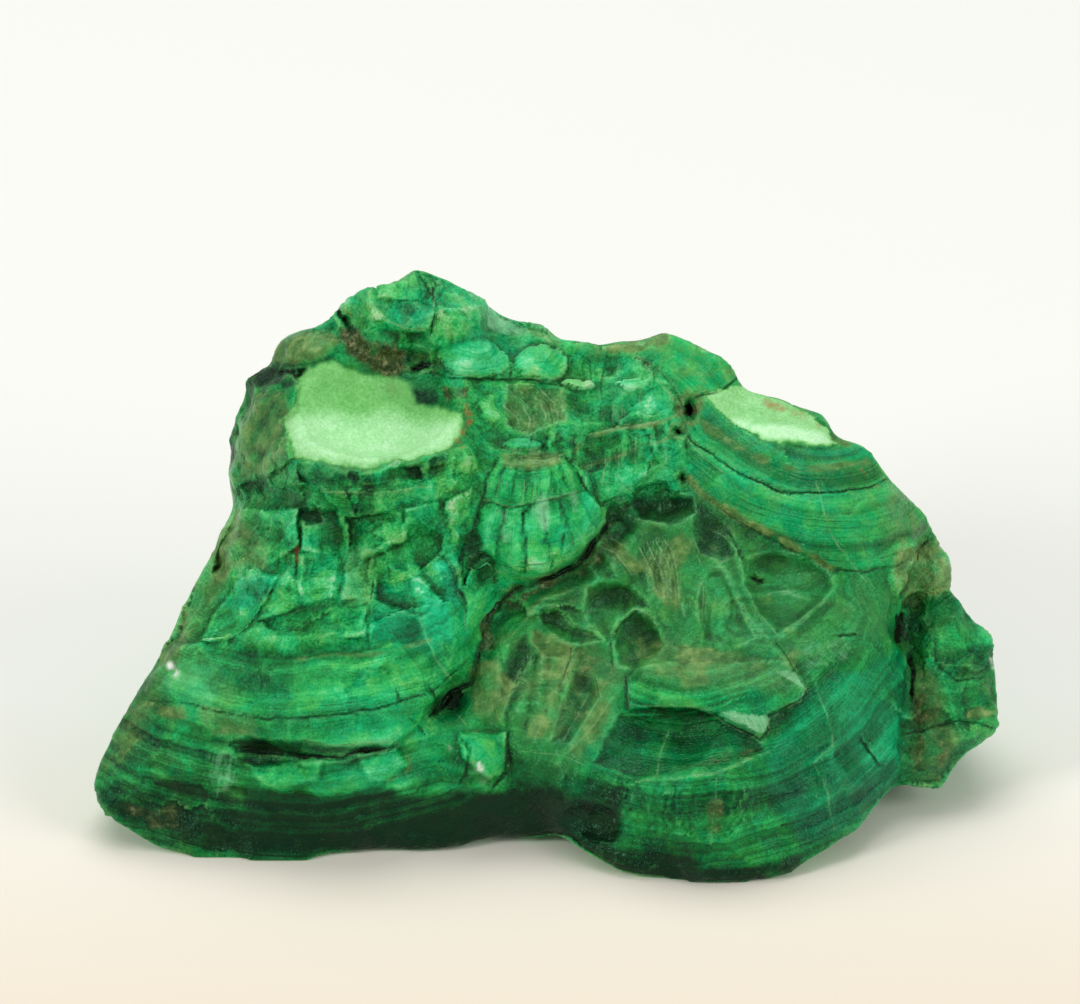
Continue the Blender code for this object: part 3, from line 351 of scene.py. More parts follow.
    ("olive", 0.20, 20, [(590, 640), (620, 680), (610, 740), (560, 780), (520, 760), (520, 680)]),
    ("bright", 0.26, 6, [(562, 640), (573, 640), (546, 738), (528, 738)]),
    ("bright", 0.22, 6, [(592, 678), (601, 683), (557, 749), (544, 744)]),
    # painted reflection in the top hollow, and painted highlight edges on the plate
    ("silk", 0.28, 9, [(651, 500), (668, 497), (684, 502), (678, 511), (656, 512)]),
    ("silk", 0.65, 4, [(778, 672), (796, 672), (807, 688), (798, 684)]),
    ("deep", 0.22, 26, [
        (600, 500), (700, 490), (790, 550), (740, 560), (690, 560), (620, 600), (560, 620), (560, 580)]),
    ("olive", 0.35, 12, [(890, 470), (930, 520), (944, 548), (900, 560), (880, 520)]),
    # right end
    # the right lump's top face: painted shade on its lower part and a painted highlight above
    ("deep", 0.25, 6, [(934, 650), (990, 648), (984, 670), (960, 680), (940, 668)]),
    ("bright", 0.30, 7, [(938, 624), (975, 620), (988, 645), (960, 650), (936, 646)]),
    ("olive", 0.8, 4, [(962, 712), (980, 708), (990, 712), (980, 720), (964, 720)]),
    ("black", 0.5, 4, [(948, 718), (968, 722), (968, 732), (950, 730)]),
    ("dirt", 0.40, 12, [(910, 700), (930, 690), (950, 740), (950, 785), (915, 785)]),
    ("olive", 0.50, 16, [(908, 660), (932, 670), (958, 740), (956, 790), (912, 790)]),
]

# Strokes: kind, strength, half width, line.  Whitish green strokes are painted sheen, and the thin ones
# painted highlight hairlines; white ones are painted glints.
STROKES = [
    ("rust", 0.8, 2.5, [(457, 440), (460, 449)]),
    ("rust", 0.8, 3.0, [(466, 404), (470, 420), (463, 434)]),
    ("rust", 0.9, 2.5, [(295, 548), (297, 560)]),
    ("rust", 0.65, 4.0, [(765, 402), (794, 414), (820, 424)]),
    ("olive", 0.6, 4.0, [(744, 384), (763, 390), (782, 397), (807, 413), (832, 426), (849, 441)]),
    ("olive", 0.6, 4.0, [(700, 420), (722, 438), (746, 452), (794, 468), (832, 467), (866, 462)]),
    ("rust", 0.35, 3.0, [(861, 470), (879, 486)]),
    ("silk", 0.36, 1.6, [(686, 437), (704, 459), (723, 472)]),
    ("olive", 0.9, 4.0, [(689, 480), (707, 497), (739, 516), (779, 541), (814, 559), (832, 569)]),
    ("silk", 0.33, 1.6, [(817, 483), (822, 505), (832, 537), (850, 562), (867, 586)]),
    ("silk", 0.22, 1.6, [(276, 394), (262, 430), (246, 474), (236, 504)]),
    ("olive", 0.75, 5.0, [(239, 512), (222, 545), (196, 590), (176, 626), (158, 661)]),
    ("silk", 0.24, 1.6, FAN_VEIN),
    ("silk", 0.24, 1.6, [(448, 560), (462, 590), (464, 610), (468, 640)]),
    ("olive", 0.55, 2.5, [(300, 661), (340, 657), (389, 655), (430, 640)]),
    ("silk", 0.26, 1.6, [(457, 714), (470, 728), (493, 741)]),
    ("olive", 0.55, 2.5, [(388, 781), (411, 770), (408, 757)]),
    ("olive", 0.8, 2.5, [(576, 450), (586, 438), (620, 427), (651, 425), (676, 416)]),
    ("olive", 0.6, 2.5, [(586, 462), (620, 455), (664, 440), (684, 430)]),
    ("silk", 0.26, 1.5, [(504, 449), (520, 453), (544, 449)]),
    ("silk", 0.24, 1.5, [(636, 353), (657, 366), (673, 388), (682, 400)]),
    ("silk", 0.22, 1.5, [(611, 384), (626, 389), (641, 385)]),
    ("silk", 0.19, 1.6, [(486, 499), (510, 507), (533, 503), (559, 497), (586, 487)]),
    ("olive", 0.5, 2.5, [(494, 641), (514, 627), (546, 598), (570, 590)]),
    ("silk", 0.19, 1.5, [(606, 664), (630, 669), (652, 664), (668, 650), (665, 636)]),
    ("silk", 0.17, 1.5, [(540, 606), (562, 603), (578, 628), (590, 610)]),
    ("silk", 0.29, 1.5, [
        (627, 680), (628, 706), (676, 705), (707, 709), (739, 730), (764, 744), (770, 730), (767, 721),
        (801, 701), (806, 686)]),
    ("silk", 0.29, 1.6, [(636, 782), (676, 780), (714, 776), (739, 764), (772, 750)]),
    ("olive", 0.5, 3.5, [(714, 796), (712, 812)]),
    ("silk", 0.29, 1.6, [(820, 694), (830, 720), (836, 744), (817, 763), (829, 804), (833, 826)]),
    ("silk", 0.22, 1.6, [(520, 751), (550, 754), (567, 757), (582, 763)]),
    ("silk", 0.27, 1.6, [(532, 748), (548, 706), (568, 660)]),
    ("silk", 0.21, 1.6, [(556, 752), (580, 712), (592, 690)]),
    # painted glints: white specks of reflected light
    ("white", 1.0, 5.0, [(170, 668), (175, 675)]),
    ("white", 1.0, 2.5, [(986, 660), (988, 668)]),
    ("white", 0.8, 2.0, [(478, 764), (480, 770)]),
    ("white", 0.8, 2.0, [(447, 746), (449, 750)]),
]

# --- Relief of the front ---
# Cracks and breaks: depth, half width, line.  All but hairlines are dark with painted shade.
LIPPED_CRACK = 0.9  # deeper ones have an olive lip
SOILED_CRACK = 1.5  # deeper ones have earth beside them
CRACKS = [
    (0.35, 1.2, [
        (153, 701), (193, 704), (215, 710), (257, 719), (294, 719), (340, 716), (374, 710), (404, 701),
        (432, 692), (450, 676), (478, 652)]),
    (1.1, 2.6, [(430, 716), (442, 708), (452, 692), (470, 684)]),
    (0.5, 1.6, [(409, 718), (426, 734)]),
    (0.5, 1.6, [(395, 691), (398, 703)]),
    (0.5, 1.6, [(429, 688), (434, 700)]),
    (1.0, 2.6, [(228, 746), (262, 752), (306, 757), (343, 756), (356, 750), (392, 744)]),
    (0.5, 1.8, [(345, 488), (350, 500), (358, 512)]),
    (0.25, 1.6, [(294, 548), (297, 575), (301, 600)]),
    (0.25, 1.6, [(341, 550), (343, 575), (340, 596)]),
    (0.25, 1.8, [(375, 556), (374, 575), (371, 598)]),
    (0.25, 1.8, [(366, 612), (368, 632), (371, 646)]),
    (1.2, 3.0, [(337, 306), (345, 318), (352, 332)]),
    (0.6, 1.6, [(433, 288), (434, 310), (432, 332)]),
    (1.4, 3.4, [(411, 371), (420, 366), (430, 364)]),
    (0.45, 1.6, [(430, 372), (452, 378), (490, 378), (520, 380), (560, 382)]),
    (0.45, 1.5, [(512, 345), (514, 362), (510, 376)]),
    (0.35, 1.8, [(490, 472), (482, 500), (473, 529), (484, 560), (500, 592)]),
    (0.45, 1.5, [(530, 506), (522, 516), (526, 545), (524, 575)]),
    (0.35, 1.4, [(560, 500), (566, 525), (562, 556)]),
    (0.45, 1.6, [(574, 462), (586, 484), (606, 507)]),
    (0.35, 1.4, [(485, 501), (510, 508), (533, 504), (559, 498), (586, 488)]),
    (0.25, 1.8, [(689, 491), (668, 492), (649, 496), (628, 508), (613, 523)]),
    (1.3, 2.6, [(617, 518), (595, 544), (587, 557), (576, 566), (552, 576), (532, 584)]),
    (0.8, 2.6, [(536, 583), (518, 590), (503, 601), (491, 618)]),
    (0.6, 2.4, [(495, 612), (484, 636), (480, 655), (470, 686)]),
    (0.10, 1.6, [(637, 356), (658, 369), (672, 389), (680, 402)]),
    (0.15, 1.6, [(686, 440), (688, 462), (688, 486)]),
    (0.5, 1.8, [(695, 398), (720, 392), (739, 376), (743, 384)]),
    (2.6, 5.0, [(689, 404), (690, 416)]),
    (2.2, 3.6, [(676, 430), (681, 432)]),
    (1.4, 3.0, [(682, 477), (683, 481)]),
    (0.55, 1.6, [
        (689, 437), (695, 444), (720, 463), (757, 482), (786, 493), (832, 493), (870, 487), (886, 479)]),
    (0.35, 1.6, [
        (725, 510), (756, 531), (784, 549), (819, 562), (832, 570), (867, 571), (895, 563), (932, 540)]),
    (0.5, 1.6, [(729, 531), (738, 552), (746, 570)]),
    (1.0, 3.2, [(750, 577), (762, 582)]),
    (0.3, 1.4, [(776, 641), (790, 660), (806, 686)]),
    (0.6, 1.6, [(838, 635), (855, 635)]),
    (0.5, 1.6, [(626, 677), (628, 713)]),
    (0.45, 1.6, [(628, 712), (676, 711), (716, 714), (759, 740), (770, 730)]),
    (0.6, 1.6, [(864, 738), (874, 752), (884, 766)]),
    (1.2, 3.0, [(909, 654), (914, 672), (911, 700)]),
    (0.3, 1.5, [(613, 666), (610, 646), (619, 625), (639, 609)]),
    (0.3, 1.5, [(540, 608), (548, 622), (570, 630)]),
    (0.3, 1.5, [(573, 632), (570, 660), (560, 690)]),
    (0.6, 2.0, [(508, 735), (506, 772), (490, 792)]),
    (0.6, 1.8, [(460, 735), (470, 750), (464, 778)]),
    (0.05, 1.2, [(244, 771), (247, 810), (247, 854)]),
    (0.8, 2.6, [(282, 372), (300, 376), (304, 370)]),
    (0.4, 1.8, [(906, 735), (935, 726), (955, 722), (992, 728)]),
    (0.35, 1.5, [(934, 642), (936, 664), (954, 682), (980, 678)]),
    (0.4, 1.6, [(928, 540), (915, 556), (905, 575), (900, 600)]),
]

# Shelves: height, edge width, outline.  The inside stands proud, or sunk where it is negative.
SHELVES = [
    (0.45, 3.0, [
        (626, 679), (640, 668), (792, 660), (807, 687), (799, 701), (766, 715), (769, 726), (759, 740),
        (716, 712), (666, 705), (628, 711)]),
    (0.5, 3.0, [
        (199, 643), (212, 610), (238, 580), (279, 574), (270, 600), (251, 621), (233, 636), (208, 645)]),
    (0.8, 3.5, [
        (282, 378), (300, 372), (296, 410), (284, 420), (294, 445), (295, 458), (240, 492), (262, 400)]),
    (0.4, 6.0, [(356, 752), (393, 746), (410, 766), (380, 784), (370, 780)]),
    (0.6, 3.5, [(458, 732), (506, 733), (508, 772), (488, 780), (462, 758)]),
    (-0.9, 5.0, [(594, 762), (620, 716), (700, 712), (750, 735), (765, 750), (700, 771), (640, 780)]),
    (0.4, 7.0, [(246, 763), (322, 761), (317, 781), (290, 790), (262, 787)]),
    (-0.4, 3.0, [(371, 582), (412, 578), (424, 621), (418, 645), (376, 645)]),
]

# Hollows with a thin raised rim: depth, rim height, darkness (strength of the painted shade inside),
# outline.
HOLLOWS = [
    (1.0, 0.35, 0.35, [(632, 500), (664, 494), (694, 497), (696, 514), (670, 528), (638, 517)]),
    (0.6, 0.15, 0.15, [
        (694, 500), (715, 512), (730, 530), (737, 556), (722, 562), (700, 553), (692, 530)]),
    (1.0, 0.40, 0.34, [
        (587, 587), (599, 581), (626, 585), (646, 599), (652, 609), (634, 609), (615, 626), (611, 652),
        (603, 638), (591, 630), (583, 611)]),
    (1.0, 0.50, 0.34, [
        (611, 638), (619, 619), (638, 609), (654, 619), (666, 646), (654, 662), (634, 670), (619, 664)]),
    (0.9, 0.50, 0.40, [
        (535, 611), (555, 606), (575, 624), (595, 630), (603, 642), (579, 646), (559, 638), (543, 626)]),
    (0.7, 0.45, 0.10, [(531, 626), (559, 638), (575, 646), (569, 660), (543, 656), (533, 642)]),
    (0.7, 0.40, 0.00, [
        (702, 640), (699, 600), (708, 570), (722, 568), (733, 590), (744, 618), (756, 640), (730, 650)]),
    (1.0, 0.45, 0.12, [
        (744, 560), (770, 552), (810, 560), (832, 574), (834, 588), (822, 604), (800, 620), (776, 636),
        (756, 612), (744, 585)]),
    (0.7, 0.30, 0.25, [(598, 552), (612, 560), (618, 580), (600, 578), (590, 566)]),
    (0.7, 0.30, 0.25, [(652, 560), (664, 566), (668, 596), (660, 600), (654, 584)]),
    (0.6, 0.30, 0.20, [(510, 640), (528, 630), (532, 656), (516, 690), (500, 700), (500, 668)]),
    (0.7, 0.35, 0.20, [(574, 672), (596, 676), (600, 700), (570, 744), (550, 742), (562, 704)]),
    (1.3, 0.25, 0.75, [
        (228, 743), (246, 737), (272, 739), (300, 741), (330, 745), (354, 744), (392, 740), (392, 746),
        (356, 752), (330, 757), (300, 758), (262, 755)]),
    (0.9, 0.30, 0.30, [(295, 510), (318, 507), (325, 524), (304, 527)]),
    (0.9, 0.30, 0.35, [(508, 386), (560, 386), (566, 420), (530, 434), (508, 424)]),
    (0.8, 0.25, 0.30, [(404, 346), (428, 350), (430, 366), (410, 372), (400, 362)]),
    (0.8, 0.25, 0.30, [(602, 358), (616, 360), (614, 374), (604, 374)]),
    (0.6, 0.25, 0.25, [(318, 388), (300, 384), (290, 372), (306, 366), (322, 374)]),
]

# Ridges: height, half width, line.
RIDGE_SHARE = 0.50  # share of their height that stands proud
RIDGES = [
    (0.6, 8.0, [
        (698, 640), (696, 600), (702, 572), (714, 562), (726, 568), (737, 591), (749, 619), (777, 650),
        (803, 684)]),
    (0.5, 7.0, [(828, 571), (835, 587), (824, 604), (803, 622), (777, 641)]),
    (0.6, 8.0, [(574, 660), (566, 682), (549, 712), (531, 745)]),
    (0.5, 8.0, [(614, 698), (596, 724), (568, 752)]),
    (0.6, 5.0, [(504, 640), (520, 622), (546, 600), (574, 590)]),
    (0.6, 5.0, [(524, 660), (512, 690), (500, 720)]),
    (0.7, 5.0, [(612, 536), (632, 552), (646, 572), (652, 600)]),
    (0.6, 4.0, [(672, 548), (676, 576), (682, 604), (690, 626)]),
    (0.6, 4.0, [(660, 552), (664, 580), (672, 606)]),
    (0.6, 5.0, [(712, 530), (728, 540), (738, 556), (744, 572)]),
    (0.7, 5.0, [(636, 781), (676, 779), (714, 775), (739, 763), (771, 751)]),
    (0.5, 6.0, [(668, 732), (660, 756), (657, 779)]),
    (0.6, 6.0, [(716, 780), (715, 810), (710, 844)]),
    (0.5, 5.0, [(820, 694), (830, 720), (836, 744), (817, 763), (829, 804), (833, 828)]),
    (0.6, 5.0, [(276, 392), (262, 430), (246, 474), (234, 506)]),
    (0.4, 4.0, FAN_VEIN),
    (0.6, 5.0, [(328, 491), (380, 493), (427, 487)]),
    (0.6, 4.0, [(574, 440), (608, 431), (653, 424), (678, 415)]),
    (0.6, 4.0, [(504, 450), (524, 455), (546, 450)]),
    (0.5, 4.0, [(500, 462), (530, 466), (562, 460)]),
    (0.5, 4.0, [(635, 354), (656, 380), (677, 402)]),
    (0.5, 4.0, [(619, 392), (617, 418)]),
    (0.5, 4.0, [(484, 499), (510, 507), (533, 503), (559, 497), (586, 487)]),
]

# Facets of the upper left: tilt across and down (share), outline.
TILT_SLOPE = 0.16
TILTS = [
    (0.9, -0.3, [(238, 508), (296, 508), (300, 545), (262, 572), (236, 560), (214, 578)]),
    (-0.8, 0.5, [(300, 508), (340, 512), (342, 560), (322, 552), (300, 552)]),
    (0.7, 0.6, [(345, 514), (400, 510), (410, 540), (374, 556), (346, 552)]),
    (-0.6, -0.6, [(404, 508), (440, 500), (446, 548), (424, 570), (400, 540)]),
    (0.8, 0.2, [(302, 556), (338, 550), (336, 598), (304, 602)]),
    (-0.7, 0.4, [(344, 556), (372, 556), (368, 600), (342, 600)]),
    (0.6, -0.7, [(376, 560), (424, 574), (446, 604), (420, 620), (374, 600)]),
    (-0.8, 0.3, [(426, 572), (444, 550), (470, 596), (468, 640), (448, 606)]),
    (0.35, 0.25, [(300, 606), (366, 606), (370, 640), (300, 646), (256, 624)]),
    (-0.5, -0.5, [(446, 500), (474, 486), (474, 530), (486, 560), (468, 590), (450, 545)]),
    (0.6, -0.4, [(300, 462), (350, 468), (352, 486), (300, 484)]),
    (-0.6, 0.4, [(356, 468), (420, 466), (424, 482), (358, 486)]),
    (0.7, 0.5, [(426, 462), (466, 452), (470, 474), (428, 482)]),
    (0.6, 0.5, [(345, 296), (372, 282), (378, 304), (392, 324), (360, 318)]),
    (-0.7, 0.4, [(376, 282), (412, 262), (432, 288), (430, 300), (380, 302)]),
    (0.7, -0.3, [(436, 290), (470, 300), (482, 326), (440, 322)]),
    (-0.6, 0.5, [(366, 322), (400, 330), (402, 352), (372, 344), (350, 336)]),
    (0.6, 0.6, [(406, 332), (452, 326), (450, 344), (424, 358), (406, 350)]),
]

# Shells: middle, half length and width, turn (degrees), height, brightness.
SHELL_ARCS = 0.01  # brightness above which a shell has bands
SHELL_BANDS = 1.6  # how much closer a shell's bands lie
SHELLS = [
    ((474, 357), 37, 19, 6, 0.35, 0.03), ((541, 362), 27, 18, 0, 0.30, 0.03),
    ((580, 381), 17, 6, 4, 0.25, 0.12), ((630, 383), 18, 5.5, 0, 0.25, 0.08),
    ((492, 406), 14, 15, 0, 0.4, 0.0), ((522, 443), 21, 7, -3, 0.35, 0.06),
    ((405, 316), 30, 15, 12, 0.5, 0.0), ((457, 306), 20, 18, 60, 0.5, 0.0),
    ((306, 349), 32, 15, -12, 0.6, 0.0), ((408, 288), 26, 15, -10, 0.5, 0.0),
    ((484, 760), 23, 22, 0, 0.3, 0.0), ((450, 772), 15, 13, 0, 0.3, 0.0),
    ((558, 641), 22, 13, 0, 0.3, 0.0), ((716, 606), 14, 32, 0, 0.3, 0.0),
    ((612, 484), 26, 12, 20, 0.3, 0.0), ((655, 478), 26, 10, -14, 0.35, 0.0),
    ((628, 408), 14, 18, 0, 0.3, -0.06), ((658, 404), 16, 16, 0, 0.3, 0.0),
]

# Pushes that true the outline: place, radius, steps to the right and down.
PUSHES = [
    ((238, 430), 40, -9, 0), ((256, 380), 18, -8, -4), ((412, 276), 18, 0, -6),
    ((472, 286), 15, -1, 6), ((535, 320), 24, 6, -9), ((715, 362), 24, 7, -5),
    ((180, 605), 30, -9, 0), ((842, 434), 16, -7, 5), ((948, 550), 20, -9, 2),
    ((992, 675), 30, 5, 0), ((946, 786), 14, 5, 5), ((335, 310), 18, 0, 4),
]

# Fluted stretches: centre, radii from and to, directions from and to (degrees), ribs, height.
FINE_RIB = 0.38  # lower ribs have no painted shadow line at their edges
FLUTES = [
    ((530, 400), 104, 182, 236, 318, 8, 0.60),
    ((530, 400), 62, 103, 232, 312, 9, 0.40),
    ((590, 260), 172, 206, 252, 300, 11, 0.50),
    ((300, 300), 215, 300, 255, 292, 8, 0.35),
    ((690, 500), 282, 340, 252, 288, 19, 0.22),
    ((560, 560), 90, 180, 245, 290, 7, 0.25),
]

# Hairlines: shade, amount, lines.  Light ones are painted highlights along edges and rims, dark ones
# painted shadow lines beside them.
HAIR_DEPTH = 0.6  # a crack that is shallower is a hairline
HAIR_WIDTH = 1.6  # a stroke of painted sheen that is thinner is one too, drawn as a painted highlight
LINE_REACH = 4.6  # how far from a hairline its distance is kept
HAIRLINES = [
    # middle lobe
    ("light", 0.8, [
        [(574, 438), (608, 430), (653, 423), (677, 414)],
        [(635, 354), (648, 366), (657, 382), (676, 402)], [(519, 461), (545, 459), (567, 452)],
        [(504, 449), (520, 454), (544, 450)]]),
    ("light", 0.6, [
        [(615, 392), (614, 419)], [(623, 392), (622, 419)], [(640, 392), (641, 418)],
        [(606, 457), (605, 481)], [(635, 440), (636, 471)], [(590, 462), (588, 482)],
        [(620, 450), (619, 476)], [(650, 440), (652, 466)], [(664, 438), (667, 462)],
        [(512, 392), (524, 404), (530, 420), (528, 432)], [(508, 404), (518, 418), (520, 430)],
        [(526, 388), (540, 402), (546, 418), (540, 430)], [(542, 390), (554, 402), (558, 418)]]),
    ("dark", 0.6, [
        [(519, 392), (532, 406), (538, 424)], [(534, 390), (548, 404), (552, 424)],
        [(506, 412), (514, 426)], [(598, 458), (597, 480)], [(613, 452), (612, 478)],
        [(628, 446), (628, 474)], [(643, 442), (644, 468)], [(658, 438), (660, 464)],
        [(672, 434), (675, 458)], [(592, 356), (594, 376)], [(604, 356), (600, 420)],
        [(652, 362), (654, 392)], [(572, 346), (574, 372)]]),
    # skirt
    ("light", 0.4, [
        [(500, 478), (496, 498)], [(524, 484), (523, 504)], [(549, 476), (550, 499)],
        [(572, 470), (577, 492)], [(516, 572), (545, 566), (570, 556), (590, 542)],
        [(474, 566), (490, 575), (508, 577)], [(514, 563), (543, 557), (566, 548), (586, 533)],
        [(533, 496), (533, 530)]]),
    ("dark", 0.5, [
        [(507, 480), (503, 500)], [(533, 482), (531, 503)], [(559, 478), (562, 497)],
        [(541, 494), (531, 506), (527, 522), (530, 542)], [(472, 558), (486, 568), (508, 570)],
        [(515, 568), (544, 562), (568, 552), (588, 538)], [(559, 500), (562, 530), (558, 552)]]),
    # open field
    ("light", 0.5, [
        [(640, 548), (650, 566), (654, 590)], [(648, 545), (660, 566), (664, 596)],
        [(656, 542), (668, 562), (672, 600)], [(664, 540), (674, 556), (680, 600), (684, 618)],
        [(602, 545), (616, 552), (626, 566)], [(700, 560), (704, 590), (702, 620)],
        [(768, 595), (786, 592), (801, 598)], [(778, 672), (795, 680), (806, 689)],
        [(722, 714), (745, 722), (764, 738), (771, 730), (768, 722)]]),
    ("dark", 0.5, [
        [(644, 552), (654, 570), (658, 598)], [(652, 548), (663, 568), (668, 604)],
        [(668, 548), (675, 570), (678, 606)], [(608, 548), (622, 562), (632, 580)]]),
    # peak
    ("light", 0.6, [
        [(432, 288), (434, 300), (432, 312)], [(377, 306), (390, 322), (404, 328), (424, 330)],
        [(343, 292), (352, 306), (366, 318)], [(250, 396), (246, 430), (240, 470), (234, 505)]]),
    ("dark", 0.6, [
        [(338, 298), (348, 318), (360, 334)], [(400, 300), (424, 304), (436, 312)],
        [(440, 300), (456, 318), (478, 326)], [(430, 272), (436, 286)]]),
]

# --- Noise.  Layers: size, height, seed ---
NOISE_CELLS = 32
WOBBLE = [(0.6, 1.5, 60), (1.4, 1.8, 61), (3.4, 2.2, 62)]  # chart steps, sways edges
FLAWS = [(1.9, 1.0, 63)]  # breaks lines up
FIELD_RINGS = [(9.0, 16.0, 71), (4.0, 5.0, 72)]
FIELD_FAN = [(11.0, 14.0, 73)]
RING_WAVER = [(6.0, 0.30, 74), (1.6, 0.05, 75)]
ROUGH_LUMPS = [(4.2, 0.20, 31), (1.7, 0.06, 32)]

# Scars and splinters: size (for splinters across and along), height, seed, tone.
SCARS = [(9.5, 2.6, 41, 0.8), (4.6, 1.35, 42, 0.6), (2.3, 0.50, 43, 0.2)]
SPLINTERS = [((7.0, 2.8), 0.62, 51, 0.8), ((3.0, 1.2), 0.20, 52, 0.4)]
SCAR_WARP = 0.30  # share of a scar's size
SCAR_SHIFT = 0.8  # mm that a scar's bands shift
SCAR_REACH = 2  # cells that wide scars are looked for in
WIDE_SCAR = 4.0
SCAR_LEAN = 0.55  # shares of a scar's height
SCAR_DEPTH = 0.22
SCAR_BOWL = 0.65
GRAIN_WARP = 0.8  # sways the splinters' rows
GRAIN_WARP_SIZE = 3.0
GRAIN_WARP_SEEDS = (81, 82)
GRAIN_STEP = 7.7  # parts the splinters of neighbouring zones

SOLE = 1.5  # below this the relief fades to the resting face
MERGE_GAP = 0.01
FINE_ROUNDS, BROAD_ROUNDS = 3, 24  # surroundings that a place is held against
FINE_RELIEF, BROAD_RELIEF = 0.16, 0.45  # how far it then stands out at most

# What each vertex carries to the stone's paint.  The dark green and black tints carry darker green and
# painted shade, the whitish green and white ones painted sheen and glints, crisp and proud painted
# highlights on ridges and painted shade in hollows, and the hairlines painted highlight and shadow
# lines.
TINTS = ("bright", "deep", "mint", "teal", "olive", "dirt", "rust", "silk", "black", "white")
SHADES = ("dark", "light")
MARKS = {
    "growth": ("ring", "fan", "seed", "facet"),
    "strengths": ("bands", "fibres", "tone", "olive_zone"),
    "broken": ("broken",),
    "hairlines": ("dark_side", "dark_drawn", "light_side", "light_drawn"),
    "tints_green": ("deep", "mint", "teal", "black"),
    "tints_earth": ("olive", "dirt", "rust", "silk"),
    "tints_light": ("bright", "white", "crisp", "proud"),
}
EVERYWHERE = slice(None)

# --- Stage, in metres ---
FLOOR_RADIUS = 6.0
FLOOR_FADE = (-0.07, 0.02)  # Y from which and to which the floor pales
SKY_COLOUR = (1.0, 1.0, 0.99, 1.0)
LAMP_AIM = Vector((0.0, 0.0, 0.03))
SENSOR_WIDTH = 36.0  # mm
CLIPPING = (0.1, 20.0)
BUMP_DEPTH = 0.00035
MID_VECTOR = (0.5, 0.5, 0.5)  # middle of a noise's or a chip's colour


def smoothstep(t):
    """Return 0 below 0, 1 above 1, and an even ramp between."""
    t = np.clip(t, 0.0, 1.0)
    return t * t * (3.0 - 2.0 * t)


def lump_noise(points, size, seed):
    """Return smooth noise between -1 and 1 whose lumps are about `size` across."""
    lattice = np.random.default_rng(seed).uniform(-1.0, 1.0, (NOISE_CELLS,) * 3)
    cell = points / size
    low = np.floor(cell).astype(int)
    share = smoothstep(cell - low)
    total = np.zeros(len(points))
    for corner in itertools.product((0, 1), repeat=3):
        weight = np.prod(np.where(corner, share, 1.0 - share), axis=1)
        x, y, z = ((low + corner) % NOISE_CELLS).T
        total += weight * lattice[x, y, z]
    return total


def scar_bowls(points, size, seed, reach=1):
    """Return the height of shell-shaped scars that meet in sharp ridges, and a number per scar."""
    sides = points.shape[1]
    random = np.random.default_rng(seed)
    cells = (NOISE_CELLS,) * sides
    jitter = random.uniform(0.1, 0.9, cells + (sides,))
    lean = random.normal(0.0, SCAR_LEAN, cells + (sides,))
    start = random.uniform(-SCAR_DEPTH, SCAR_DEPTH, cells)
    label = random.uniform(-1.0, 1.0, cells)
    cell = points / size
    low = np.floor(cell).astype(int)
    height = np.full(len(points), np.inf)
    number = np.zeros(len(points))
    for corner in itertools.product(range(-reach, reach + 1), repeat=sides):
        place = tuple(((low + corner) % NOISE_CELLS).T)
        offset = cell - low - corner - jitter[place]
        bowl = SCAR_BOWL * np.sum(offset ** 2, axis=1) + start[place]
        bowl += np.sum(offset * lean[place], axis=1)
        lower = bowl < height
        height = np.where(lower, bowl, height)
        number = np.where(lower, label[place], number)
    return height - height.mean(), number


def to_line(x, y, points):
    """Return the distance to a line and where along it (0 to 1) the nearest place is."""
    corners = np.array(points, dtype=float)
    lengths = np.hypot(*np.diff(corners, axis=0).T)
    travelled = np.concatenate([[0.0], np.cumsum(lengths)])
    best = np.full(x.shape, np.inf)
    nearest = np.zeros(x.shape)
    for index in range(len(corners) - 1):
        (ax, ay), (bx, by) = corners[index], corners[index + 1]
        run, rise = bx - ax, by - ay
        along = np.clip(((x - ax) * run + (y - ay) * rise) / (run * run + rise * rise), 0.0, 1.0)
        distance = np.hypot(x - ax - along * run, y - ay - along * rise)
        closer = distance < best
        best = np.where(closer, distance, best)
        nearest = np.where(closer, travelled[index] + along * lengths[index], nearest)
    return best, nearest / travelled[-1]


def is_inside(x, y, outline):
    """Return which places lie inside an outline."""
    inside = np.zeros(x.shape, dtype=bool)
    for (ax, ay), (bx, by) in zip(outline[-1:] + outline[:-1], outline):
        if ay != by:
            inside ^= ((ay > y) != (by > y)) & (x < (bx - ax) * (y - ay) / (by - ay) + ax)
    return inside


def depth_inside(x, y, outline):
    """Return the distance to an outline, negative outside it."""
    distance, _ = to_line(x, y, outline + outline[:1])
    return np.where(is_inside(x, y, outline), distance, -distance)


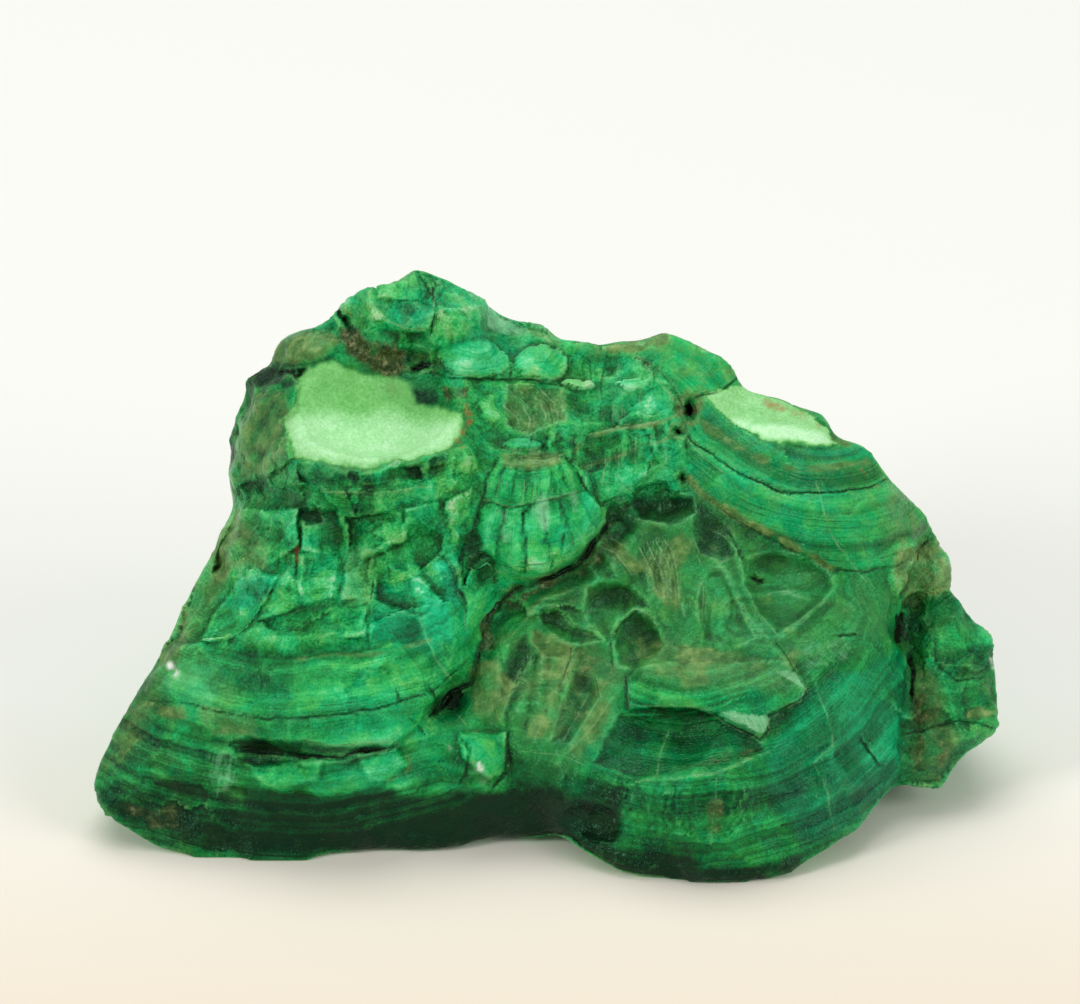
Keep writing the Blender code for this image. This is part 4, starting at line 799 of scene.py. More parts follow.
class Surface:
    """The stone's vertices with their places on the front's chart, and what is laid over them."""

    def __init__(self, points, normals):
        """Take the vertices and their normals."""
        self.points, self.normals = points, normals
        local = points - FRONT_ORIGIN
        self.out = local @ SIGHT
        scale = CHART_STEP * (1.0 - self.out / VIEW_DISTANCE)
        self.x = CHART_MIDDLE[0] + local @ RIGHTWARD / scale
        self.y = CHART_MIDDLE[1] - local @ UPWARD / scale
        self.facing = normals @ SIGHT
        self.front = smoothstep((self.facing - FRONT_FROM) / FRONT_FADE)
        self.wobble = self.noise(WOBBLE)
        self.flaw = self.noise(FLAWS)
        self.tint = {kind: np.zeros(len(points)) for kind in TINTS}
        self.rise = np.zeros(len(points))
        self.facet = np.zeros(len(points))
        self.side = {shade: np.full(len(points), LINE_REACH) for shade in SHADES}
        self.drawn = {shade: np.zeros(len(points)) for shade in SHADES}

    def noise(self, layers):
        """Return the sum of layers of lumps."""
        return sum(height * lump_noise(self.points, size, seed) for size, height, seed in layers)

    def warp(self, size, seeds):
        """Return a column of lumps for each seed."""
        return np.column_stack([lump_noise(self.points, size, seed) for seed in seeds])

    def around(self, places, margin, sway=0.0):
        """Return the vertices near some places, and where they lie when their edges sway."""
        corners = np.array(places, dtype=float)
        (left, top), (right, bottom) = corners.min(axis=0) - margin, corners.max(axis=0) + margin
        near = np.flatnonzero((self.x > left) & (self.x < right)
                              & (self.y > top) & (self.y < bottom))
        shift = sway * self.wobble[near]
        return near, self.x[near] + shift, self.y[near] - shift

    def whole(self, near, bias, width):
        """Return 1 where the stone is whole and 0 where a flaw breaks a line up."""
        return smoothstep((self.flaw[near] + bias) / width)

    def stain(self, kind, near, cover):
        """Lay a tint where it is stronger than what lies there."""
        self.tint[kind][near] = np.maximum(self.tint[kind][near], cover)

    def deepen(self, kind, near, cover):
        """Add a tint to what lies there."""
        self.tint[kind][near] = np.minimum(self.tint[kind][near] + cover, 1.0)

    def draw(self, shade, amount, line):
        """Note the signed distance to a hairline, and its amount within reach of it."""
        near, x, y = self.around(line, 2.0 * LINE_REACH, sway=0.4)
        best = np.full(len(near), np.inf)
        side = np.zeros(len(near))
        for (ax, ay), (bx, by) in itertools.pairwise(line):
            distance, _ = to_line(x, y, [(ax, ay), (bx, by)])
            closer = distance < best
            best = np.where(closer, distance, best)
            side = np.where(closer, np.sign((bx - ax) * (y - ay) - (by - ay) * (x - ax)), side)
        closer = best < np.abs(self.side[shade][near])
        here = near[closer]
        self.side[shade][here] = (best * side)[closer]
        fade = smoothstep((LINE_REACH - best) / 1.6)[closer] * self.front[here]
        fade *= self.whole(here, 0.75, 0.7)
        self.drawn[shade][here] = amount * fade

    def draw_hairlines(self):
        """Draw the hairlines of painted highlight and painted shadow."""
        for shade, amount, lines in HAIRLINES:
            for line in lines:
                self.draw(shade, amount, line)

    def grow(self):
        """Work out each vertex's ring (mm from its centre of growth), fan and zone strengths."""
        ring = self.noise(FIELD_RINGS) + RING_BASE
        fan = self.noise(FIELD_FAN)
        seed = np.full(len(self.points), FIELD[0])
        strengths = np.tile(FIELD[1], (len(self.points), 1)).astype(float)
        for _, (cx, cy), number, given, outline in ZONES:
            near, x, y = self.around(outline, 4)
            inside = near[is_inside(x + self.wobble[near], y + self.wobble[near], outline)]
            dx, dy = (self.x[inside] - cx) * CHART_STEP, (self.y[inside] - cy) * CHART_STEP
            depth = (self.out[inside] - ZONE_LEVEL) * ZONE_REACH
            ring[inside] = np.sqrt(dx * dx + dy * dy + depth * depth)
            fan[inside] = np.arctan2(dx, dy) * FAN_WIDTH
            seed[inside] = number
            strengths[inside] = given
        away = self.front < BACK_FROM
        distance = np.stack([np.linalg.norm(self.points[away] - centre, axis=1)
                             for centre in BACK_CENTRES])
        closest = distance.argmin(axis=0)
        ring[away] = distance.min(axis=0)
        offset = self.points[away] - np.array(BACK_CENTRES)[closest]
        fan[away] = np.arctan2(offset[:, 0], offset[:, 2]) * FAN_WIDTH
        seed[away] = BACK[0] + closest * BACK_SEED_STEP
        strengths[away] = BACK[1]
        ring += self.noise(RING_WAVER)
        self.ring, self.fan, self.seed, self.strengths = ring, fan, seed, strengths

    def lay_patches(self):
        """Lay the patches of tint.  Pale and olive ones also lie on level floors."""
        for kind, strength, softness, outline in PATCHES:
            near, x, y = self.around(outline, softness + 6)
            depth = depth_inside(x, y, outline) + self.wobble[near]
            cover = strength * smoothstep(depth / softness + 0.5)
            if kind in ("mint", "olive"):
                level = smoothstep((self.normals[near, 2] - 0.35) / 0.2)
                cover *= np.maximum(self.front[near], level * (self.out[near] > SCOOP_BACK))
            else:
                cover *= self.front[near]
            if kind != "mint":
                cover *= 1.0 + 0.45 * self.flaw[near]
            self.deepen(kind, near, cover)

    def lay_strokes(self):
        """Lay the strokes of tint.  Thin strokes of painted sheen are drawn as painted highlight
        hairlines.
        """
        for kind, strength, half_width, line in STROKES:
            if kind == "silk" and half_width <= HAIR_WIDTH:
                self.draw("light", min(1.3 * strength, 1.0), line)
                continue
            near, x, y = self.around(line, half_width * 2 + 6, sway=0.5)
            distance, _ = to_line(x, y, line)
            width = half_width * (0.9 + 0.6 * self.flaw[near])
            cover = strength * smoothstep(1.5 - distance / np.maximum(width, 0.2))
            cover *= self.front[near] * self.whole(near, 0.8, 0.6)
            self.stain(kind, near, cover)

    def cut_cracks(self):
        """Press the cracks in, draw them as painted shadow lines, darken the deep ones with painted
        shade and soil them.
        """
        for depth, half_width, line in CRACKS:
            near, x, y = self.around(line, half_width * 3 + 6, sway=0.7)
            distance, along = to_line(x, y, line)
            ends = 0.4 + 0.6 * smoothstep(along / 0.15) * smoothstep((1.0 - along) / 0.15)
            share = np.maximum(0.0, 1.0 - distance / (half_width * 1.4))
            self.rise[near] -= depth * share * ends * self.front[near]
            # a painted shadow hairline along each crack
            self.draw("dark", min(0.3 + depth, 1.0), line)
            if depth <= HAIR_DEPTH:
                continue
            width = half_width * (0.8 + 0.5 * self.flaw[near])
            # painted shade inside the crack
            dark = np.maximum(0.0, 1.0 - distance / (2.2 * width)) * ends * self.front[near]
            dark *= min(0.32 + 0.42 * depth, 1.0) * self.whole(near, 0.9, 0.8)
            self.stain("black", near, dark)
            if depth > SOILED_CRACK:
                soil = smoothstep(1.4 - distance / (half_width * 3.0)) * self.front[near] * ends
                soil *= self.whole(near, 0.7, 0.9)
                self.stain("dirt", near, 0.75 * soil)
            if depth > LIPPED_CRACK:
                lip = smoothstep(1.0 - np.abs(distance / half_width - 1.8)) * self.front[near]
                self.stain("olive", near, lip * (0.25 * depth))

    def raise_shelves(self):
        """Raise the shelves, or sink those with a negative height, each with a sharp edge."""
        for height, edge, outline in SHELVES:
            near, x, y = self.around(outline, 30)
            signed = depth_inside(x, y, outline)
            depth = signed + self.wobble[near] * 0.6
            level = smoothstep(depth / edge + 0.5)
            if height < 0.0:
                level = level * (0.55 + 0.45 * smoothstep(depth / 18.0))
            else:
                foot = np.exp(-np.abs(signed) / 7.0)
                level = level - 0.5 * smoothstep(0.5 - depth / edge) * foot
            self.rise[near] += height * level * self.front[near]

    def tilt_facets(self):
        """Tilt patches of the surface, so that they meet in sharp steps."""
        for across, down, outline in TILTS:
            near, x, y = self.around(outline, 6, sway=0.7)
            inside = np.maximum(depth_inside(x, y, outline), 0.0)
            (left, top), (right, bottom) = np.min(outline, axis=0), np.max(outline, axis=0)
            slope = (across * (2.0 * x - left - right) + down * (2.0 * y - top - bottom))
            slope *= TILT_SLOPE * CHART_STEP * smoothstep(inside / 3.0)
            self.rise[near] += slope * self.front[near]
            self.facet[near] += 1.2 * slope

    def sink_hollows(self):
        """Sink the hollows with painted shade, darker towards their upper side, and raise a thin pale
        rim, a painted highlight on its lower right side.
        """
        for depth, rim_height, darkness, outline in HOLLOWS:
            near, x, y = self.around(outline, 12, sway=0.5)
            signed = depth_inside(x, y, outline)
            bowl = 1.0 - np.exp(-np.maximum(signed, 0.0) / 7.0)
            rim = np.exp(-(np.where(signed > 0.0, signed, signed * 0.7) / 2.6) ** 2)
            rim *= self.whole(near, 0.9, 0.8) * self.front[near]
            self.rise[near] += (0.4 * rim_height * rim - depth * bowl) * self.front[near]
            # painted highlight and painted shadow hairlines along parts of the outline
            self.draw("light", 0.30, outline[len(outline) // 3:])
            self.draw("dark", 0.45, outline[:len(outline) // 2])
            (left, top), (right, bottom) = np.min(outline, axis=0), np.max(outline, axis=0)
            # the rim's pale olive and bright tint, partly a painted highlight, falls on its lower right
            # side only
            rim *= smoothstep(0.5 + (x - (left + right) / 2) / (right - left)
                              + (y - (top + bottom) / 2) / (bottom - top))
            # painted shade in the bowl, strongest on its upper side
            shade = darkness * (1.2 - 0.7 * (y - top) / (bottom - top)) * bowl * self.front[near]
            self.deepen("deep", near, shade)
            self.stain("olive", near, 0.25 * rim)
            self.tint["bright"][near] += 0.03 * rim

    def raise_ridges(self):
        """Raise round ridges along lines, a little worn and pale on top, with a painted highlight
        hairline along each.
        """
        for height, half_width, line in RIDGES:
            near, x, y = self.around(line, half_width + 6, sway=0.6)
            distance, along = to_line(x, y, line)
            ends = smoothstep(along / 0.2 + 0.2) * smoothstep((1.0 - along) / 0.2 + 0.2)
            crest = np.maximum(0.0, 1.0 - distance / half_width) * ends * self.front[near]
            crest *= 0.35 + 0.65 * self.whole(near, 0.5, 0.8)
            self.rise[near] += RIDGE_SHARE * height * crest
            # painted highlight along the crest
            self.draw("light", 0.3, line)
            top = smoothstep(crest * 2.0 - 0.9) * self.whole(near, 0.4, 0.8)
            self.stain("olive", near, 0.25 * top)
            self.tint["bright"][near] += 0.02 * top

    def raise_shells(self):
        """Raise shell-shaped swellings with a steep foot in painted shade, and give the bright ones own
        bands and a painted highlight hairline along the lower edge.
        """
        for (cx, cy), half_length, half_width, turn, height, glow in SHELLS:
            cosine, sine = math.cos(math.radians(turn)), math.sin(math.radians(turn))
            dx = self.x - cx + self.wobble * 0.8
            dy = self.y - cy - self.wobble * 0.8
            along = (dx * cosine + dy * sine) / half_length
            aside = (dy * cosine - dx * sine) / half_width
            radius = np.hypot(along, aside)
            swell = np.sqrt(np.maximum(0.0, 1.0 - radius ** 2)) * self.front
            self.rise += height * swell
            self.tint["bright"] += glow * swell
            # painted shade at the shell's steep foot
            foot = smoothstep(1.0 - np.abs(radius - 1.08) / 0.16) * self.front
            foot *= self.whole(EVERYWHERE, 0.5, 0.8)
            self.stain("deep", EVERYWHERE, 0.22 * foot)
            if glow < SHELL_ARCS:
                continue
            inside = np.flatnonzero((radius < 1.0) & (self.front > 0.3))
            self.ring[inside] = SHELL_BANDS * CHART_STEP * half_width * np.hypot(
                along[inside] * 1.2, aside[inside] + 0.8)
            self.seed[inside] = cx * 0.31
            self.strengths[inside, BANDS] = 0.8
            self.strengths[inside, CHIPS] *= 0.5
            # painted highlight along the lower edge
            lower_edge = []
            for angle in np.linspace(0.1, math.pi - 0.1, 8):
                length, width = half_length * math.cos(angle), half_width * math.sin(angle)
                lower_edge.append((cx + length * cosine - width * sine,
                                   cy + length * sine + width * cosine))
            self.draw("light", 0.4, lower_edge)

    def flute(self):
        """Raise ribs that spread from a centre, with painted shade in the grooves, painted sheen on the
        crests and painted shadow lines along the higher ribs' edges.
        """
        for (cx, cy), inner, outer, first, last, ribs, height in FLUTES:
            dx, dy = self.x - cx, self.y - cy
            radius = np.hypot(dx, dy)
            direction = np.degrees(np.arctan2(-dy, dx)) % 360.0 + 0.5 * self.wobble
            mask = smoothstep((radius - inner) / 8.0) * smoothstep((outer - radius) / 8.0)
            mask *= smoothstep((direction - first) / 4.0) * smoothstep((last - direction) / 4.0)
            turn = (direction - first) / (last - first) * ribs
            rib = np.sqrt(np.abs(np.sin(math.pi * turn)))
            mask *= self.front * (0.65 + 0.35 * np.sin(7.3 * np.floor(turn)))
            self.rise += height * (rib - 0.75) * mask
            # painted shade in the grooves and painted sheen on the rib crests
            self.stain("deep", EVERYWHERE, 0.5 * mask * (1.0 - rib) ** 1.5)
            self.stain("silk", EVERYWHERE, 0.35 * mask * rib ** 8)
            if height < FINE_RIB:
                continue
            # painted shadow lines along the ribs' edges
            for edge in np.radians(np.linspace(first, last, ribs + 1)):
                self.draw("dark", 0.35, [
                    (cx + length * math.cos(edge), cy - length * math.sin(edge))
                    for length in np.linspace(inner + 6.0, outer - 6.0, 5)])

    def roughen(self):
        """Add lumps and chips all over, and splinters that follow the bands."""
        smooth = 1.0 - 0.9 * smoothstep(self.tint["mint"] / 0.4)
        chipped = self.strengths[:, CHIPS] * smooth
        self.swell = np.zeros(len(self.points))
        for layer in ROUGH_LUMPS:
            self.swell += self.noise([layer]) * (0.3 + 0.7 * smooth)
        rim = 0.35 + 0.65 * smoothstep(self.facing / 0.45)
        for size, height, seed, tone in SCARS:
            warp = self.warp(size * 0.6, range(seed, seed + 3))
            bowl, number = scar_bowls(self.points + warp * SCAR_WARP * size, size, seed,
                                      SCAR_REACH if size > WIDE_SCAR else 1)
            self.swell += height * bowl * chipped * rim
            self.facet += number * chipped * tone
            self.ring += SCAR_SHIFT * number * chipped * tone
        grain = np.column_stack([self.fan * (0.35 + self.ring / 40.0), self.ring])
        grain += self.seed[:, None] * GRAIN_STEP
        grain += GRAIN_WARP * self.warp(GRAIN_WARP_SIZE, GRAIN_WARP_SEEDS)
        splintered = smooth * rim * (1.0 - self.border) * (
            0.15 + 0.85 * self.strengths[:, CHIPS])
        for sizes, height, seed, tone in SPLINTERS:
            bowl, number = scar_bowls(grain, np.array(sizes), seed)
            self.swell += height * bowl * splintered
            self.facet += number * tone * np.minimum(self.strengths[:, FIBRES], 1.0)

    def placed(self):
        """Return the vertices moved to their places on the finished surface."""
        under = smoothstep((-self.normals[:, 2] - 0.75) / 0.2)
        swell = self.swell * (1.0 - under)
        moved = self.points + self.normals * swell[:, None] + SIGHT * self.rise[:, None]
        for (cx, cy), radius, right, down in PUSHES:
            pull = np.exp(-((self.x - cx) ** 2 + (self.y - cy) ** 2) / (radius * radius))
            moved += CHART_STEP * pull[:, None] * (right * RIGHTWARD - down * UPWARD)
        low = self.points[:, 2] < SOLE
        share = np.clip(self.points[low, 2] / SOLE, 0.0, 1.0)[:, None]
        moved[low] = self.points[low] + (moved[low] - self.points[low]) * share
        moved[:, 2] = np.maximum(moved[:, 2], 0.0)
        return moved

    def marks(self, mesh):
        """Return by name what the finished mesh's vertices carry to the paint."""
        names = ("bands", "fibres", "broken", "tone", "olive_zone")
        marks = {**self.tint, **dict(zip(names, self.strengths.T))}
        marks.update(ring=self.ring, fan=self.fan, seed=self.seed, facet=self.facet)
        for shade in SHADES:
            marks[shade + "_side"], marks[shade + "_drawn"] = self.side[shade], self.drawn[shade]
        for name, rounds, most in (("crisp", FINE_ROUNDS, FINE_RELIEF),
                                   ("proud", BROAD_ROUNDS, BROAD_RELIEF)):
            marks[name] = np.clip(standing_out(mesh, rounds) / most, -1.0, 1.0)
        return marks


# --- Meshes ---
def only(piece):
    """Make one object the selected and active one."""
    bpy.ops.object.select_all(action="DESELECT")
    piece.select_set(True)
    bpy.context.view_layer.objects.active = piece


def read_rows(collection, attribute, width, kind=np.float32):
    """Return a mesh collection's attribute as rows."""
    values = np.empty(len(collection) * width, dtype=kind)
    collection.foreach_get(attribute, values)
    return values.reshape(-1, width)


def places_and_normals(mesh):
    """Return a mesh's vertices in mm and their normals."""
    places = read_rows(mesh.vertices, "co", 3).astype(float) / METRES_PER_MM
    return places, read_rows(mesh.vertex_normals, "vector", 3).astype(float)


def apply_modifier(piece, kind, **settings):
    """Add a modifier with its settings and apply it."""
    modifier = piece.modifiers.new(kind.lower(), kind)
    for name, value in settings.items():
        setattr(modifier, name, value)
    only(piece)
    bpy.ops.object.modifier_apply(modifier=modifier.name)


def copy_of_node(name):
    """Return a merged copy of a CAD node's solid."""
    piece = bpy.data.objects.new(PIECE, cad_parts[name].data.copy())
    piece.data.name = PIECE
    piece.data.materials.clear()
    bpy.context.scene.collection.objects.link(piece)
    only(piece)
    bpy.ops.object.mode_set(mode="EDIT")
    bpy.ops.mesh.select_all(action="SELECT")
    bpy.ops.mesh.remove_doubles(threshold=MERGE_GAP * METRES_PER_MM)
    bpy.ops.object.mode_set(mode="OBJECT")
    return piece


def cut_front_finer(piece):
    """Subdivide the faces that look forwards."""
    only(piece)
    bpy.ops.object.mode_set(mode="EDIT")
    bpy.ops.mesh.select_all(action="DESELECT")
    bpy.ops.object.mode_set(mode="OBJECT")
    normals = read_rows(piece.data.polygons, "normal", 3).astype(float)
    piece.data.polygons.foreach_set("select", normals @ SIGHT > FINE_FACING)
    bpy.ops.object.mode_set(mode="EDIT")
    bpy.ops.mesh.select_mode(type="FACE")
    bpy.ops.mesh.subdivide(number_cuts=1, smoothness=0.0)
    bpy.ops.mesh.select_all(action="DESELECT")
    bpy.ops.object.mode_set(mode="OBJECT")


def store(mesh, name, columns):
    """Keep up to four numbers per vertex as a colour attribute."""
    rows = np.zeros((len(mesh.vertices), 4), dtype=np.float32)
    for index, column in enumerate(columns):
        rows[:, index] = column
    attribute = mesh.attributes.new(name, "FLOAT_COLOR", "POINT")
    attribute.data.foreach_set("color", rows.ravel())


def spread(mesh, rows, rounds):
    """Return each vertex's row of numbers evened out with its neighbours'."""
    ends = read_rows(mesh.edges, "vertices", 2, np.int32)
    first, second = ends.T
    count = np.bincount(ends.ravel(), minlength=len(rows))
    level = rows.copy()
    for _ in range(rounds):
        for column in level.T:
            total = (np.bincount(first, column[second], len(rows))
                     + np.bincount(second, column[first], len(rows)))
            column[:] = 0.5 * column + 0.5 * total / count
    return level


def borders(mesh, seed):
    """Return 1 beside places where the seed changes, and 0 away from them."""
    ends = read_rows(mesh.edges, "vertices", 2, np.int32)
    beside = np.zeros((len(seed), 1))
    beside[ends[seed[ends[:, 0]] != seed[ends[:, 1]]].ravel()] = 1.0
    return np.maximum(beside, spread(mesh, beside, BORDER_REACH))[:, 0]


def standing_out(mesh, rounds):
    """Return how far each vertex stands out of its surroundings, in mm: positive on ridges."""
    places, normals = places_and_normals(mesh)
    return np.sum((places - spread(mesh, places, rounds)) * normals, axis=1)


# --- Materials ---
class Graph:
    """Short ways to add and join a material's nodes."""

    def __init__(self, name):
        """Start a material with a Principled shader."""
        self.material = bpy.data.materials.new(name)
        self.material.use_nodes = True
        self.tree = self.material.node_tree
        self.shader = self.tree.nodes["Principled BSDF"]

    def feed(self, socket, value):
        """Set a socket, or link it to where its value comes from."""
        if isinstance(value, bpy.types.NodeSocket):
            self.tree.links.new(value, socket)
        elif value is not None:
            socket.default_value = value

    def painted(self, **inputs):
        """Feed the shader's sockets, and return the material."""
        for name, value in inputs.items():
            self.feed(self.shader.inputs[name.replace("_", " ")], value)
        return self.material

    def node(self, kind, inputs=(), **settings):
        """Add a node."""
        made = self.tree.nodes.new(kind)
        for name, value in settings.items():
            setattr(made, name, value)
        for name, value in dict(inputs).items():
            if value is not None:
                self.feed(made.inputs[name], value)
        return made

    def attribute(self, name):
        """Return the sockets of a colour attribute: its colour parted in three, and its fourth."""
        source = self.node("ShaderNodeAttribute", attribute_type="GEOMETRY", attribute_name=name)
        parted = self.node("ShaderNodeSeparateColor", {"Color": source.outputs["Color"]})
        return [*parted.outputs, source.outputs["Alpha"]]

    def math(self, operation, first, second=None, third=None):
        """Return the result of a sum."""
        made = self.node("ShaderNodeMath", operation=operation)
        for socket, value in zip(made.inputs, (first, second, third)):
            self.feed(socket, value)
        return made.outputs[0]

    def total(self, *values):
        """Return the sum of several values."""
        return functools.reduce(functools.partial(self.math, "ADD"), values)

    def product(self, *values):
        """Return the product of several values."""
        return functools.reduce(functools.partial(self.math, "MULTIPLY"), values)

    def centred(self, value, amount):
        """Return (value - 0.5) x amount."""
        return self.product(self.math("SUBTRACT", value, 0.5), amount)

    def span(self, value, low, high, to_low=0.0, to_high=1.0):
        """Return a value stretched from one range onto another, and held there."""
        made = self.node("ShaderNodeMapRange", {"Value": value, "From Min": low, "From Max": high,
                                                "To Min": to_low, "To Max": to_high})
        return made.outputs[0]

    def vector(self, operation, first, second):
        """Return the result of a sum with vectors, a number for a dot product."""
        made = self.node("ShaderNodeVectorMath", operation=operation)
        self.feed(made.inputs[0], first)
        self.feed(made.inputs[3 if operation == "SCALE" else 1], second)
        return made.outputs["Value" if operation == "DOT_PRODUCT" else "Vector"]

    def combine(self, *values):
        """Return a vector made of three numbers."""
        made = self.node("ShaderNodeCombineXYZ", zip("XYZ", values))
        return made.outputs[0]

    def noise(self, vector=None, w=None, scale=1.0, detail=2.0, roughness=0.5, dimensions="3D"):
        """Return a noise texture's value."""
        made = self.node("ShaderNodeTexNoise", {"Vector": vector, "W": w, "Scale": scale,
                                                "Detail": detail, "Roughness": roughness},
                         noise_dimensions=dimensions)
        return made.outputs[0]

    def warped(self, vector, scale, amount):
        """Return a vector pushed about by noise."""
        noise = self.node("ShaderNodeTexNoise", {"Vector": vector, "Scale": scale, "Detail": 1.0})
        push = self.vector("SUBTRACT", noise.outputs["Color"], MID_VECTOR)
        return self.vector("ADD", vector, self.vector("SCALE", push, amount))

    def chips(self, vector, scale, dimensions="3D"):
        """Return the height of leaning chips, and a number between 0 and 1 for each chip."""
        made = self.node("ShaderNodeTexVoronoi", {"Vector": vector, "Scale": scale},
                         voronoi_dimensions=dimensions)
        away = self.vector("SUBTRACT", vector, made.outputs["Position"])
        lean = self.vector("SUBTRACT", made.outputs["Color"], MID_VECTOR)
        tilt = self.product(self.vector("DOT_PRODUCT", away, lean), scale)
        bowl = self.product(self.math("POWER", made.outputs["Distance"], 2.0), 0.5)
        number = self.node("ShaderNodeSeparateColor", {"Color": made.outputs["Color"]}).outputs[2]
        return self.math("ADD", tilt, bowl), number

    def mix(self, share, first, second, blend="MIX"):
        """Return two colours mixed."""
        made = self.node("ShaderNodeMix", data_type="RGBA", blend_type=blend)
        for socket, value in ((0, share), (6, first), (7, second)):
            self.feed(made.inputs[socket], value)
        return made.outputs[2]

    def ramp(self, value, *stops):
        """Return a colour ramp's colour."""
        made = self.node("ShaderNodeValToRGB", {"Fac": value})
        elements = made.color_ramp.elements
        while len(elements) > 1:
            elements.remove(elements[-1])
        elements[0].position, elements[0].color = stops[0][0], (*stops[0][1], 1.0)
        for place, colour in stops[1:]:
            elements.new(place).color = (*colour, 1.0)
        return made.outputs[0]


class MalachitePaint(Graph):
    """Banded, fibrous malachite with earthy seams and velvety scoops."""

    def __init__(self, looks):
        """Read the vertices' marks, and set up the patterns that the stone's finishes share."""
        super().__init__("malachite_banded")
        self.looks = looks
        for name, columns in MARKS.items():
            for column, socket in zip(columns, self.attribute(name)):
                setattr(self, column, socket)
        self.place = self.node("ShaderNodeTexCoord").outputs["Object"]
        self.drift = self.noise(self.place, scale=60.0)
        self.cloud = self.noise(self.place, scale=80.0)
        self.mottle = self.noise(self.place, scale=420.0, detail=3.0, roughness=0.6)
        self.speckle = self.noise(self.place, scale=1000.0, detail=3.0, roughness=0.65)
        self.grit = self.noise(self.place, scale=2700.0, detail=1.0, roughness=0.6)
        self.large, self.large_tone = self.chips(self.warped(self.place, 260.0, 0.0022), 180.0)
        self.small, self.small_tone = self.chips(self.warped(self.place, 700.0, 0.0010), 460.0)
        self.split = self.product(self.fibres, self.broken)
        self.grainy = self.math("MULTIPLY_ADD", self.broken, 0.7, 0.3)
        self.lay_bands()
        self.lay_fibres()
        self.level = self.lightness()

    def sway(self, **amounts):
        """Return the sum of named patterns, each centred and times its amount."""
        return self.total(*(self.centred(getattr(self, name), amount)
                            for name, amount in amounts.items()))

    def share(self, **amounts):
        """Return the sum of named marks, each times its amount."""
        return self.total(*(self.product(getattr(self, name), amount)
                            for name, amount in amounts.items()))

    def banding(self, fineness, detail, roughness=0.5):
        """Return noise that changes from ring to ring."""
        return self.noise(w=self.ring_here, scale=self.looks.band_scale * fineness, detail=detail,
                          roughness=roughness, dimensions="1D")

    def lay_bands(self):
        """Set up the wide and narrow bands, the lines and the seams that follow the rings."""
        self.ring_here = self.math("ADD", self.ring, self.product(self.seed, 91.7))
        self.wide = self.banding(0.28, 1.0)
        self.narrow = self.banding(1.0, 2.0)
        self.lines = self.banding(4.0, 2.0, 0.7)
        self.seams = self.span(self.banding(1.9, 1.0), 0.37, 0.31)

    def lay_fibres(self):
        """Set up the threads, sheaves and scales that run from ring to ring."""
        self.threads = self.noise(self.combine(self.product(self.fan, 3.4),
                                               self.product(self.ring, 0.16), self.seed),
                                  roughness=0.6)
        bend = self.math("MULTIPLY_ADD", self.drift, 3.0, self.product(self.seed, 3.3))
        self.sheaves, self.sheaf_tone = self.chips(self.combine(
            self.math("MULTIPLY_ADD", self.fan, 0.21, bend), self.product(self.ring, 0.085), 0.0),
            1.0, "2D")
        self.scales, self.scale_tone = self.chips(self.combine(
            self.math("MULTIPLY_ADD", self.fan, 0.42, bend),
            self.math("MULTIPLY_ADD", self.ring, 0.70, bend), 0.0), 1.0, "2D")

    def lightness(self):
        """Return how light each place is, from the deepest green to the palest."""
        shown = self.span(self.noise(self.place, scale=150.0, detail=1.0), 0.40, 0.62, 0.25, 1.0)
        banded = self.total(self.sway(wide=0.46, narrow=0.30),
                            self.product(self.sway(lines=0.32), shown),
                            self.product(self.seams, shown, -0.07))
        return self.total(
            self.product(banded, self.bands),
            self.product(self.sway(threads=0.04, sheaf_tone=0.15), self.fibres),
            self.product(self.sway(scale_tone=0.16), self.split),
            self.product(self.sway(large_tone=0.14, small_tone=0.08, mottle=0.11), self.broken),
            self.product(self.sway(speckle=0.22, grit=0.50), self.grainy),
            self.sway(cloud=0.10),
            # crisp and proud paint highlights on ridges and shade in hollows; the bright and dark green
            # tints are in places painted highlights and painted shade
            self.share(facet=0.085, crisp=0.14, proud=0.14, tone=1.0, bright=0.40, deep=-0.42),
            self.looks.lightness)

    def greens(self):
        """Return the greens: bluish here and there, leafy where the stone is dull."""
        green = self.ramp(
            self.level,
            (0.02, (0.001, 0.010, 0.003)),
            (0.20, self.looks.deep_green),
            (0.40, (0.004, 0.185, 0.034)),
            (0.55, self.looks.body_green),
            (0.70, (0.045, 0.520, 0.120)),
            (0.86, self.looks.bright_green),
            (1.0, (0.42, 0.80, 0.44)))
        blue_green = self.ramp(
            self.level,
            (0.05, (0.0, 0.03, 0.012)),
            (0.35, (0.0, 0.17, 0.050)),
            (0.60, (0.004, 0.42, 0.130)),
            (0.90, (0.05, 0.74, 0.31)),
            (1.0, (0.25, 0.85, 0.50)))
        bluish = self.total(self.teal, self.span(self.drift, 0.42, 0.66, -0.2, 0.35),
                            self.product(self.sway(large_tone=0.5), self.broken))
        colour = self.mix(bluish, green, blue_green)
        leaf = self.ramp(
            self.total(self.sway(mottle=0.7, small_tone=0.35, drift=-0.6), self.share(teal=-0.6),
                       0.40),
            (0.20, (0.30, 0.98, 1.30)),
            (0.45, (1.0, 1.0, 1.0)),
            (0.75, (2.4, 1.0, 0.75)))
        return self.mix(self.span(self.level, 0.60, 0.95, 1.0, 0.15), colour, leaf, "MULTIPLY")

